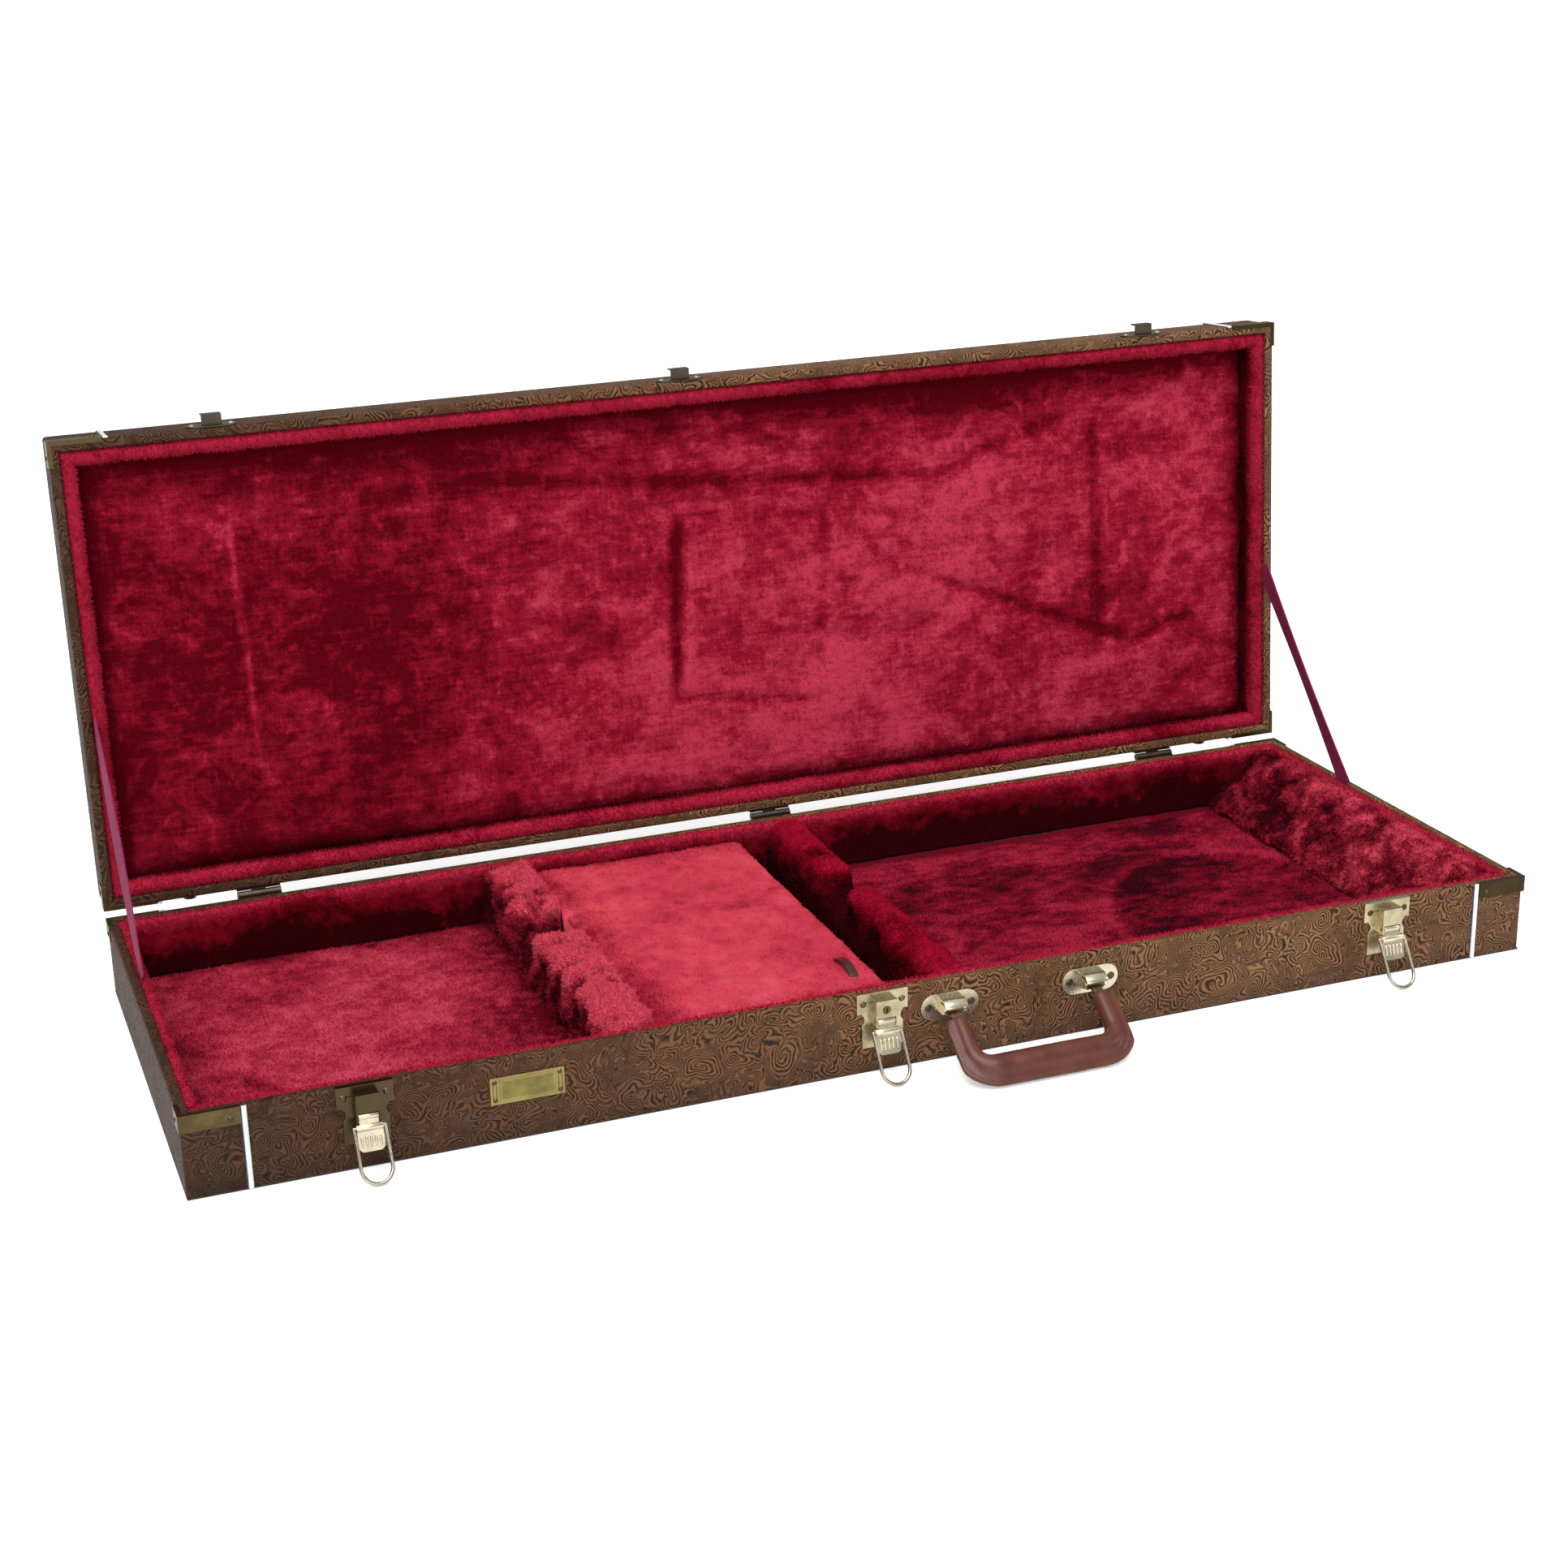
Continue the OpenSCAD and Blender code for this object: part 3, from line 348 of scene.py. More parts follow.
# Colour, roughness, its spread, patina, and how bright the left and right ends stay.
METAL = {
    "brass": ("brass", (0.84, 0.76, 0.56), 0.24, 0.05, 0.3),
    "plate": ("latch_plate_brass", (0.7, 0.6, 0.38), 0.28, 0.05, 0.4, 0.08),
    "wire": ("bail_wire", (0.55, 0.5, 0.38), 0.2, 0.05, 0.35),
    "antique": ("antique_brass", (0.22, 0.155, 0.07), 0.34, 0.06, 0.45, 0.8, 0.35),
    "dark_metal": ("dark_bronze", (0.11, 0.085, 0.06), 0.36, 0.08, 0.3),
    "name_brass": ("name_plate_brass", (0.38, 0.3, 0.115), 0.38, 0.06, 0.3),
    "field_brass": ("name_field_brass", (0.3, 0.25, 0.08), 0.5, 0.1, 0.35),
}
M = {
    "vinyl": vinyl_material("tooled_vinyl"),
    "edge": plain_material("bottom_edge_vinyl", (0.02, 0.012, 0.009), 0.6),
    **{key: plush_material(*values) for key, values in PLUSH.items()},
    **{key: metal_material(*values) for key, values in METAL.items()},
    "leather": leather_material("handle_leather", (0.07, 0.017, 0.011), (0.14, 0.038, 0.026)),
    "dark_leather": leather_material("pull_tab_leather", (0.035, 0.012, 0.008), (0.09, 0.032, 0.02)),
    "thread": plain_material("stitching_thread", (0.1, 0.03, 0.022), 0.7),
    "piping": plain_material("white_piping", (0.86, 0.86, 0.9), 0.25),
    # Near-black edge colour, standing for the painted shadow beside the piping.
    "piping_edge_and_shadow": plain_material("piping_edge_and_shadow", (0.03, 0.025, 0.06), 0.4),
    "ribbon": ribbon_material("stay_ribbon", (0.22, 0.01, 0.066)),
    "wood": wood_material("plywood"),
    "floor": floor_material("studio_floor"),
}


# ---------------------------------------------------------------- mesh helpers
WELD = 1e-5
CLOTH_FRAMES = 20
CLOTH = {"quality": 5, "mass": 0.25, "tension_stiffness": 12, "compression_stiffness": 8,
    "bending_stiffness": 0.4, "vertex_group_mass": "pin", "use_pressure": True}


def link_object(name, mesh):
    obj = bpy.data.objects.new(name, mesh)
    bpy.context.scene.collection.objects.link(obj)
    return obj


def new_object(name, verts, faces, material, uvs=None, smooth=True):
    mesh = bpy.data.meshes.new(name)
    mesh.from_pydata([tuple(v) for v in verts], [], faces)
    if uvs is not None:
        mesh.uv_layers.new(name="UVMap").data.foreach_set("uv", np.array(uvs, np.float32).ravel())
    mesh.materials.append(material)
    mesh.polygons.foreach_set("use_smooth", [smooth] * len(mesh.polygons))
    return link_object(name, mesh)


def tube_faces(sides, rings, first=0, flip=False):
    """Faces of a capped tube, whose rings of points follow each other from the first point on."""
    at = lambda ring, k: first + ring * sides + k % sides
    faces = [(at(r, k), at(r, k + 1), at(r + 1, k + 1), at(r + 1, k))
        for r in range(rings - 1) for k in range(sides)]
    start, end = (tuple(at(ring, k) for k in range(sides)) for ring in (0, rings - 1))
    faces += [start[::-1], end]
    return [f[::-1] for f in faces] if flip else faces


def get_co(mesh):
    co = np.empty(len(mesh.vertices) * 3, np.float32)
    mesh.vertices.foreach_get("co", co)
    return co.reshape(-1, 3).astype(float)


def set_co(mesh, co):
    mesh.vertices.foreach_set("co", np.asarray(co, np.float32).ravel())
    mesh.update()


def get_normals(mesh):
    no = np.empty(len(mesh.vertices) * 3, np.float32)
    mesh.vertex_normals.foreach_get("vector", no)
    return no.reshape(-1, 3).astype(float)


def value_noise(co, scale, seed, octaves=2):
    """Smooth noise in about -1..1 at each point."""
    shift = Vector((seed * 3.17, seed * 1.31, seed * 2.73))
    return np.array([noise.fractal(Vector(p) * scale + shift, 0.9, 2.1, octaves) for p in co])


def roughen(obj, layers, seed):
    """Moves a mesh along its normals by noise; layers are (features per metre, amplitude)."""
    co, no = get_co(obj.data), get_normals(obj.data)
    push = sum(amplitude * value_noise(co, scale, seed + k) for k, (scale, amplitude) in enumerate(layers))
    set_co(obj.data, co + no * push[:, None])


def paint(obj, name, values):
    attribute = obj.data.attributes.get(name) or obj.data.attributes.new(name, "FLOAT", "POINT")
    attribute.data.foreach_set("value", np.asarray(values, np.float32))


def painted(obj, name):
    values = np.empty(len(obj.data.vertices), np.float32)
    obj.data.attributes[name].data.foreach_get("value", values)
    return values.astype(float)


def rise(values, start, run):
    """0 up to start, then up to 1 over run."""
    return np.clip((values - start) / run, 0, 1)


def fall(values, end, run):
    """0 from end on, and up to 1 at a run before it."""
    return np.clip((end - values) / run, 0, 1)


def modifier(obj, kind, **props):
    mod = obj.modifiers.new(kind.lower(), kind)
    for key, value in props.items():
        setattr(mod, key, value)
    return mod


def evaluated(obj):
    bpy.context.view_layer.update()
    return obj.evaluated_get(bpy.context.evaluated_depsgraph_get())


def smooth_shaded(obj):
    for polygon in obj.data.polygons:
        polygon.use_smooth = True


def apply_modifiers(obj):
    mesh = bpy.data.meshes.new_from_object(evaluated(obj))
    obj.modifiers.clear()
    old, obj.data = obj.data, mesh
    bpy.data.meshes.remove(old)
    smooth_shaded(obj)


def loop_points(hx, hy, corner, outset, arc, nx, ny):
    """A rounded rectangle, anticlockwise from the front left corner, pushed out by outset."""
    x, y, r = hx + outset, hy + outset, max(corner + outset, 0.4 * MM)
    arcs = []
    for (sx, sy), start in zip(SQUARE, (180, 270, 0, 90)):
        turn = [math.radians(start + 90 * k / arc) for k in range(arc + 1)]
        arcs.append([(sx * (x - r) + r * math.cos(a), sy * (y - r) + r * math.sin(a)) for a in turn])
    points = []
    for k, arc_points in enumerate(arcs):
        points += arc_points
        a, b = arc_points[-1], arcs[(k + 1) % 4][0]
        n = nx if k % 2 == 0 else ny
        points += [(a[0] + (b[0] - a[0]) * t / n, a[1] + (b[1] - a[1]) * t / n) for t in range(1, n)]
    return points


def rim_ring(name, hx, hy, corner, profile, material, step, arc=5):
    """A wall all round the case, from a closed profile of (outset, height) points."""
    nx, ny = max(1, round(2 * hx / step)), max(1, round(2 * hy / step))
    loops = [loop_points(hx, hy, corner, o, arc, nx, ny) for o, z in profile]
    count = len(loops[0])
    verts = [(x, y, z) for loop, (o, z) in zip(loops, profile) for x, y in loop]
    along, climb = (np.cumsum([0] + [math.dist(a, b) for a, b in zip(line, line[1:] + line[:1])])
        for line in (loops[0], profile))
    faces, uvs = [], []
    for j in range(len(profile)):
        k = (j + 1) % len(profile)
        for i in range(count):
            n = (i + 1) % count
            faces.append((j * count + i, j * count + n, k * count + n, k * count + i))
            uvs += [(along[a], climb[b]) for a, b in ((i, j), (i + 1, j), (i + 1, j + 1), (i, j + 1))]
    return new_object(name, verts, faces, material, uvs)


def arc_profile(centre, radius, start, end, count=4):
    """Points on an arc of a (outset, height) profile, angles in degrees."""
    turn = [math.radians(start + (end - start) * k / count) for k in range(count + 1)]
    return [(centre[0] + radius * math.cos(a), centre[1] + radius * math.sin(a)) for a in turn]


def slab(name, lo, hi, step, edge, material, relief=None):
    """A closed cushion-shaped slab with a gridded top, rounded down at its edges."""
    nx, ny = max(2, round((hi[0] - lo[0]) / step)), max(2, round((hi[1] - lo[1]) / step))
    xs, ys = np.linspace(lo[0], hi[0], nx + 1), np.linspace(lo[1], hi[1], ny + 1)
    gx, gy = np.meshgrid(xs, ys, indexing="ij")
    border = np.minimum(np.minimum(gx - lo[0], hi[0] - gx), np.minimum(gy - lo[1], hi[1] - gy))
    fall = np.clip(1 - border / edge, 0, 1)
    top = hi[2] - edge * (1 - np.sqrt(np.maximum(0, 1 - fall**2))) * min(1, (hi[2] - lo[2]) / edge)
    if relief is not None:
        top = top + relief(gx, gy) * np.clip(border / edge, 0, 1)
    verts = list(zip(gx.ravel(), gy.ravel(), top.ravel()))
    total = len(verts)
    verts += [(x, y, lo[2]) for x, y, z in verts]
    at = lambda i, j: i * (ny + 1) + j
    faces = []
    for i in range(nx):
        for j in range(ny):
            q = (at(i, j), at(i + 1, j), at(i + 1, j + 1), at(i, j + 1))
            faces += [q, tuple(total + k for k in q[::-1])]
    sides = [pair for i in range(nx) for pair in ((at(i, 0), at(i + 1, 0)), (at(i + 1, ny), at(i, ny)))]
    sides += [pair for j in range(ny) for pair in ((at(0, j + 1), at(0, j)), (at(nx, j), at(nx, j + 1)))]
    faces += [(a, total + a, total + b, b) for a, b in sides]
    return new_object(name, verts, faces, material)


def copy_node(name, node, material):
    """A new object with a CAD node's mesh, welded."""
    obj = link_object(name, NODES[node].data.copy())
    obj.data.materials.clear()
    obj.data.materials.append(material)
    modifier(obj, "WELD", merge_threshold=WELD)
    return obj


def remeshed(obj, voxel, smooth_times):
    modifier(obj, "REMESH", mode="VOXEL", voxel_size=voxel)
    modifier(obj, "SMOOTH", iterations=smooth_times, factor=0.5)
    apply_modifiers(obj)


def subdivided(obj):
    modifier(obj, "SUBSURF", levels=1, render_levels=1)
    apply_modifiers(obj)


def puffed_out(obj, fixed, pressure, slack):
    """Where a short cloth simulation under pressure takes the mesh, with the fixed points held."""
    group = obj.vertex_groups.new(name="pin")
    for weight in (0.0, 1.0):
        group.add([int(i) for i in np.nonzero(fixed == weight)[0]], weight, "REPLACE")
    cloth = modifier(obj, "CLOTH")
    values = dict(CLOTH, uniform_pressure_force=pressure, shrink_min=-slack)
    for key, value in values.items():
        setattr(cloth.settings, key, value)
    cloth.settings.effector_weights.gravity = 0
    cloth.collision_settings.use_collision = False
    cloth.point_cache.frame_start, cloth.point_cache.frame_end = 1, CLOTH_FRAMES
    for f in range(1, CLOTH_FRAMES + 1):
        bpy.context.scene.frame_set(f)
    puffed = get_co(obj.evaluated_get(bpy.context.evaluated_depsgraph_get()).data)
    obj.modifiers.remove(cloth)
    bpy.context.scene.frame_set(1)
    obj.vertex_groups.clear()
    return puffed


def stuffed(obj, pinned, pressure, cap, dimples, dimple_r, dimple_d, slack, seed):
    """A padded cover: pinned points stay, dimples are sewn in, and the rest puffs out by up to cap."""
    rest, no = get_co(obj.data), get_normals(obj.data)
    fixed, sunk = pinned(rest).astype(float), np.zeros(len(rest))
    free = np.nonzero(fixed < 0.5)[0]
    random = np.random.default_rng(seed)
    moved = rest.copy()
    if len(free):
        for k in random.choice(free, min(dimples, len(free)), replace=False):
            reach = np.linalg.norm(rest - rest[k], axis=1) / (dimple_r * random.uniform(0.7, 1.3))
            inside = reach < 1
            bowl = 1 - reach[inside] ** 2
            moved[inside] -= no[inside] * (dimple_d * bowl**2)[:, None]
            fixed[reach < 0.3] = 1
            sunk[inside] = np.maximum(sunk[inside], bowl)
    set_co(obj.data, moved)
    # How deep each point sits in a sewn dimple, kept for the painted shade in the cradles' and the end pad's
    # dimples.
    paint(obj, "sunk", sunk)
    step = puffed_out(obj, fixed, pressure, slack) - moved
    step *= np.minimum(1, cap / np.maximum(np.linalg.norm(step, axis=1), 1e-9))[:, None]
    set_co(obj.data, moved + step)
    subdivided(obj)


# ---------------------------------------------------------------- geometry-node trees
class Flow:
    """A geometry-node tree with named inputs, ending in realised instances that carry a material."""

    def __init__(self, name, sockets):
        self.tree = bpy.data.node_groups.new(name, "GeometryNodeTree")
        for label, kind in (("Geometry", "Geometry"), *sockets, ("Material", "Material")):
            self.tree.interface.new_socket(label, in_out="INPUT", socket_type="NodeSocket" + kind)
        self.tree.interface.new_socket("Geometry", in_out="OUTPUT", socket_type="NodeSocketGeometry")
        self.inputs = self.tree.nodes.new("NodeGroupInput").outputs

    def node(self, kind, inputs, **props):
        """One node's outputs; inputs are values, or the sockets that feed it."""
        n = self.tree.nodes.new(kind)
        for key, value in props.items():
            setattr(n, key, value)
        for key, value in inputs.items():
            if isinstance(value, bpy.types.NodeSocket):
                self.tree.links.new(value, n.inputs[key])
            else:
                n.inputs[key].default_value = value
        return n.outputs

    def finish(self, **instances):
        placed = self.node("GeometryNodeInstanceOnPoints", instances)["Instances"]
        real = self.node("GeometryNodeRealizeInstances", {"Geometry": placed})["Geometry"]
        dyed = self.node("GeometryNodeSetMaterial", {"Geometry": real, "Material": self.inputs["Material"]})
        self.node("NodeGroupOutput", {"Geometry": dyed["Geometry"]})
        return self.tree


def pile_tree():
    """Scatters short tapered tufts over a surface, thickest where the fuzz attribute is high."""
    sizes = [(label, "Float") for label in ("Density", "Length", "Width", "Lean")]
    flow = Flow("pile_tufts", sizes + [("Seed", "Int")])
    given = flow.inputs
    fuzz = flow.node("GeometryNodeInputNamedAttribute", {"Name": "fuzz"}, data_type="FLOAT")["Attribute"]
    density = flow.node("ShaderNodeMath", {0: given["Density"], 1: fuzz}, operation="MULTIPLY")[0]
    points = flow.node("GeometryNodeDistributePointsOnFaces",
        {"Mesh": given["Geometry"], "Density": density, "Seed": given["Seed"]})
    tuft = flow.node("GeometryNodeMeshCone",
        {"Vertices": 3, "Radius Top": 0, "Radius Bottom": given["Width"], "Depth": given["Length"]},
        fill_type="NONE")["Mesh"]
    least = flow.node("ShaderNodeMath", {0: given["Lean"], 1: -1}, operation="MULTIPLY")[0]
    lean = {"Min": least, "Max": given["Lean"]}
    tilt = flow.node("FunctionNodeRandomValue", lean, data_type="FLOAT_VECTOR")
    turned = flow.node("FunctionNodeRotateRotation",
        {"Rotation": points["Rotation"], "Rotate By": tilt["Value"]}, rotation_space="LOCAL")["Rotation"]
    size = flow.node("FunctionNodeRandomValue", {"Min": 0.55, "Max": 1.2}, data_type="FLOAT")[1]
    return flow.finish(Points=points["Points"], Instance=tuft, Rotation=turned, Scale=size)


def row_tree():
    """Repeats one rounded bead along a line, turned to follow it."""
    flow = Flow("bead_row", [("Count", "Int"), ("Size", "Vector")])
    given = flow.inputs
    curve = flow.node("GeometryNodeMeshToCurve", {"Mesh": given["Geometry"]})["Curve"]
    even = flow.node("GeometryNodeCurveToPoints", {"Curve": curve, "Count": given["Count"]})
    follow = flow.node("FunctionNodeAlignRotationToVector", {"Vector": even["Tangent"]}, axis="X")["Rotation"]
    bead = flow.node("GeometryNodeMeshUVSphere", {"Segments": 10, "Rings": 6, "Radius": 1})["Mesh"]
    return flow.finish(Points=even["Points"], Instance=bead, Rotation=follow, Scale=given["Size"])


PILE, ROW = pile_tree(), row_tree()


def run_tree(name, source, tree, values):
    """Runs a tree on a mesh object and returns its output as a new plain mesh object."""
    mod = modifier(source, "NODES", node_group=tree)
    for item in tree.interface.items_tree:
        if item.in_out == "INPUT" and item.name in values:
            mod[item.identifier] = values[item.name]
    mesh = bpy.data.meshes.new_from_object(evaluated(source))
    source.modifiers.remove(mod)
    mesh.name = name
    return link_object(name, mesh)


def pile(name, source, body, density, length, width, lean, seed, slot="plush"):
    """Pile tufts on a plush piece: tufts per square mm, and their size in mm."""
    values = {"Density": density * 1e6, "Length": length * MM, "Width": width * MM, "Lean": lean,
        "Seed": seed, "Material": source.data.materials[0]}
    finish_piece(run_tree(name, source, PILE, values), body, slot)


def bead_row(name, points, count, size, material, body, slot, matrix):
    mesh = bpy.data.meshes.new(name + "_line")
    mesh.from_pydata([tuple(p) for p in points], [(k, k + 1) for k in range(len(points) - 1)], [])
    line = link_object(name + "_line", mesh)
    obj = run_tree(name, line, ROW, {"Count": count, "Size": size, "Material": material})
    bpy.data.objects.remove(line)
    obj.data.transform(matrix)
    smooth_shaded(obj)
    finish_piece(obj, body, slot)


def finish_piece(obj, body, slot, *nodes, fill=None):
    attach(obj, body)
    if nodes:
        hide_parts(*nodes)


# ---------------------------------------------------------------- shell
def base_vinyl_skin():
    """Vinyl wrapped over the base's walls and rounded over its rim."""
    top, r, bead, tuck = BASE_H, COVER_R, BEAD_R, BASE_H - 14 * MM
    profile = [(0, z * MM) for z in (1, 20, 42)] + arc_profile((-r, top - r), r, 0, 90, 5)
    profile += [(-5 * MM, top)] + arc_profile((bead - RIM_T, top - bead), bead, 90, 180, 3)
    profile += [(-RIM_T, tuck), (SKIN_T - RIM_T, tuck), (SKIN_T - RIM_T, top - 3 * MM),
        (-SKIN_T, top - 3 * MM), (-SKIN_T, 1 * MM)]
    obj = rim_ring("base_vinyl_skin", END_X, BACK_Y, CORNER_R, profile, M["vinyl"], 30 * MM)
    finish_piece(obj, "base", "tooled_vinyl", "base_covering")


def lid_vinyl_skin():
    """Vinyl wrapped over the lid's walls and rim, with its outer panel."""
    low, high, r, bead, tuck = LID_Z0, LID_Z1, COVER_R, BEAD_R, LID_Z0 + 14 * MM
    profile = [(-SKIN_T, high - 4 * MM), (-SKIN_T, low + 3 * MM), (SKIN_T - RIM_T, low + 3 * MM),
        (SKIN_T - RIM_T, tuck), (-RIM_T, tuck)]
    profile += arc_profile((bead - RIM_T, low + bead), bead, 180, 270, 3)
    profile += [(-5 * MM, low)] + arc_profile((-r, low + r), r, 270, 360, 5) + [(0, low + 20 * MM)]
    profile += arc_profile((-3 * MM, high - 3 * MM), 3 * MM, 0, 90, 5)
    profile += [(-12 * MM, high), (-12 * MM, high - SKIN_T), (-4 * MM, high - SKIN_T)]
    obj = rim_ring("lid_vinyl_skin", END_X, BACK_Y, CORNER_R, profile, M["vinyl"], 30 * MM)
    obj.data.transform(LID_TURN)
    finish_piece(obj, "lid", "tooled_vinyl", "lid_covering")
    x, y = END_X - 11.5 * MM, BACK_Y - 11.5 * MM
    corners = [(sx * x, sy * y, z) for z in (high - 0.9 * MM, high) for sx, sy in SQUARE]
    faces = tube_faces(4, 2)
    uvs = [corners[k][:2] for f in faces for k in f]
    panel = new_object("lid_vinyl_panel", corners, faces, M["vinyl"], uvs, smooth=False)
    panel.data.transform(LID_TURN)
    finish_piece(panel, "lid", "tooled_vinyl")


def piping_edge_shadows():
    """A dark ridge beside each run of white piping: the overlapping vinyl's edge, coloured as the painted
    shadow in the gap beside the piping.
    """
    for body, low, high, turn in (("base", 1 * MM, BASE_H, Matrix()), ("lid", LID_Z0, LID_Z1, LID_TURN)):
        verts, faces = [], []
        for sx, sy in ((-1, -1), (-1, 1), (1, -1), (1, 1)):
            x, y = sx * (END_X - 44.5 * MM) - 2.3 * MM, sy * BACK_Y
            faces += tube_faces(4, 2, len(verts), flip=sy > 0)
            for z in (low, high - 1 * MM):
                ridge = ((-0.7, 0), (0, 0.8), (0.9, 0), (0, -0.3))
                verts += [(x + dx * MM, y + sy * dy * MM, z) for dx, dy in ridge]
        obj = new_object(body + "_piping_edge_and_shadow", verts, faces, M["piping_edge_and_shadow"], smooth=False)
        obj.data.transform(turn)
        finish_piece(obj, body, "piping_white")


# ---------------------------------------------------------------- plush linings and pads
def base_wall_plush():
    """Plush on the base's walls, rolled over into a soft bead under the rim."""
    top, roll = BASE_H - 1 * MM, 3.2 * MM
    profile = [(0, FLOOR_Z), (0, top - 5 * MM)] + arc_profile((-roll, top - roll), roll, 0, 180, 8)
    profile += [(-5.8 * MM, 54 * MM), (-5 * MM, 49 * MM)]
    profile += [(-LINING_T, z * MM) for z in (44, 38, 32, 26, 20, 15)] + [(-LINING_T, FLOOR_Z)]
    obj = rim_ring("base_wall_plush", IN_X - PLAY, IN_Y - PLAY, 1 * MM, profile, M["plush"], 6 * MM, 2)
    roughen(obj, [(35, 0.7 * MM), (120, 0.45 * MM)], 3)
    co = get_co(obj.data)
    height = (co[:, 2] - FLOOR_Z) / (top - FLOOR_Z)
    back = (co[:, 1] > 0) & (np.abs(co[:, 0]) < ROOM_X - 4 * MM)
    # Painted light on the rolled bead under the rim and painted shade lower down the walls, deepest on the
    # back wall.
    paint(obj, "nap_and_shade", 0.5 * rise(height, 0.74, 0.26) - np.where(back, 0.75, 0.3) * fall(height, 0.875, 0.7))
    paint(obj, "fuzz", np.clip((height - 0.7) / 0.2, 0.12, 1))
    finish_piece(obj, "base", "plush", "base_side_lining", fill=1.0)
    pile("base_wall_pile", obj, "base", 0.55, 3.0, 0.55, 0.9, 5)


def base_floor_plush():
    """The quilted floor, lit in the head's compartment and shaded beyond the left cradle."""
    lo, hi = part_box("base_floor_lining")
    swell = lambda x, y: 1.1 * MM * np.sin(x * 31 + 1.3 * np.sin(y * 23)) * np.sin(y * 27 + 0.8)
    low, high = (lo.x + 1 * MM, lo.y + 1 * MM, lo.z), (hi.x - 1 * MM, hi.y - 1 * MM, hi.z)
    obj = slab("base_floor_plush", low, high, 5 * MM, 5 * MM, M["plush_head"], swell)
    roughen(obj, [(40, 0.5 * MM), (130, 0.3 * MM)], 8)
    co = get_co(obj.data)
    edge = np.minimum(co[:, 0] + ROOM_X, ROOM_Y - np.abs(co[:, 1]))
    # Painted shade along the left, front and back walls, and beyond the left cradle.
    paint(obj, "nap_and_shade", 0.1 - 0.4 * fall(edge, 0.02, 0.02) - 0.55 * rise(co[:, 0], -0.31, 0.08))
    head_side = co[:, 0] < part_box("left_neck_cradle")[0].x
    paint(obj, "fuzz", np.where(head_side, 1.0, 0.0) * (co[:, 2] > FLOOR_Z - 2 * MM))
    finish_piece(obj, "base", "plush", "base_floor_lining", fill=0.8)
    pile("head_floor_pile", obj, "base", 0.3, 2.6, 0.5, 0.9, 6)


def neck_cradle(side, material, dimples, slack, seed, lift, face_shade):
    """One padded neck cradle, its cover drawn in at buttons so that it lies lumpy."""
    node = side + "_neck_cradle"
    obj = copy_node(side + "_cradle_plush", node, M[material])
    remeshed(obj, 4.5 * MM, 9)
    lo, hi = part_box(node)
    # The left cradle's face towards the flap stays flat and bare, so that the flap can turn beside it.
    left = side == "left"
    flap_side = lo.x + (0.88 * (hi.x - lo.x) if left else 1)
    pinned = lambda co: ((co[:, 2] < FLOOR_Z + 4 * MM) | (np.abs(co[:, 1]) > ROOM_Y - 4 * MM)
        | (co[:, 0] > flap_side))
    stuffed(obj, pinned, 5.0, 4.5 * MM, dimples, 13 * MM, 3.4 * MM, slack, seed)
    roughen(obj, [(60, 1.2 * MM), (170, 0.7 * MM)], seed)
    co = get_co(obj.data)
    if left:
        co[:, 0] = np.minimum(co[:, 0], hi.x - 0.5 * MM)
        set_co(obj.data, co)
    height, depth = (co[:, 2] - FLOOR_Z) / (hi.z - FLOOR_Z), co[:, 0] - lo.x
    notch = fall(np.abs(co[:, 1] - NOTCH_Y[side]), 30 * MM, 6 * MM)
    notch *= fall(height, 0.93, 0.15) * rise(depth, 0, 6 * MM)
    face = fall(depth, 5 * MM, 5 * MM) * fall(height, 0.9, 0.15)
    # Painted light on the tops, and painted shade low down, in the notch, on the left face and in the sewn
    # dimples.
    shade = lift + (0.8 if left else 0.4) * rise(height, 0.8, 0.2) - 0.35 * fall(height, 0.85, 0.4)
    paint(obj, "nap_and_shade", shade - 0.45 * notch - face_shade * face - 0.6 * painted(obj, "sunk"))
    paint(obj, "fuzz", np.clip(height, 0.3, 1) * (co[:, 0] < flap_side + 1 * MM))
    finish_piece(obj, "base", "plush", node, fill=0.7)
    pile(side + "_cradle_pile", obj, "base", 0.75, 3.4 if left else 2.4, 0.6, 0.9, seed + 4)


def accessory_flap():
    """The padded flap, smooth on top and crisp along its free edge."""
    obj = copy_node("accessory_flap_plush", "compartment_flap", M["plush_flap"])
    lo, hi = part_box("compartment_flap")
    remeshed(obj, 3.4 * MM, 3)
    pinned = lambda co: (co[:, 2] < lo.z + 2.2 * MM) | (co[:, 0] > hi.x - 2 * MM)
    stuffed(obj, pinned, 2.0, 1.6 * MM, 7, 16 * MM, 1.2 * MM, 0.01, 12)
    roughen(obj, [(45, 0.6 * MM), (170, 0.22 * MM)], 13)
    co = get_co(obj.data)
    edge = np.minimum(np.minimum(co[:, 0] - lo.x, hi.y - co[:, 1]), co[:, 1] - lo.y)
    # Painted shade along the edges by the left cradle and the walls, not along the free edge.
    paint(obj, "nap_and_shade", -0.55 * fall(edge, 0.022, 0.022) * (0.6 + 0.4 * value_noise(co, 90, 2)))
    clear = (co[:, 2] > lo.z + 2 * MM) * (co[:, 0] > lo.x + 4 * MM)
    paint(obj, "fuzz", np.clip(1.2 - edge / 0.03, 0.06, 1) * clear)
    finish_piece(obj, "flap", "flap_plush", "compartment_flap", fill=0.8)
    pile("accessory_flap_pile", obj, "flap", 0.5, 2.0, 0.45, 0.9, 9, slot="flap_plush")


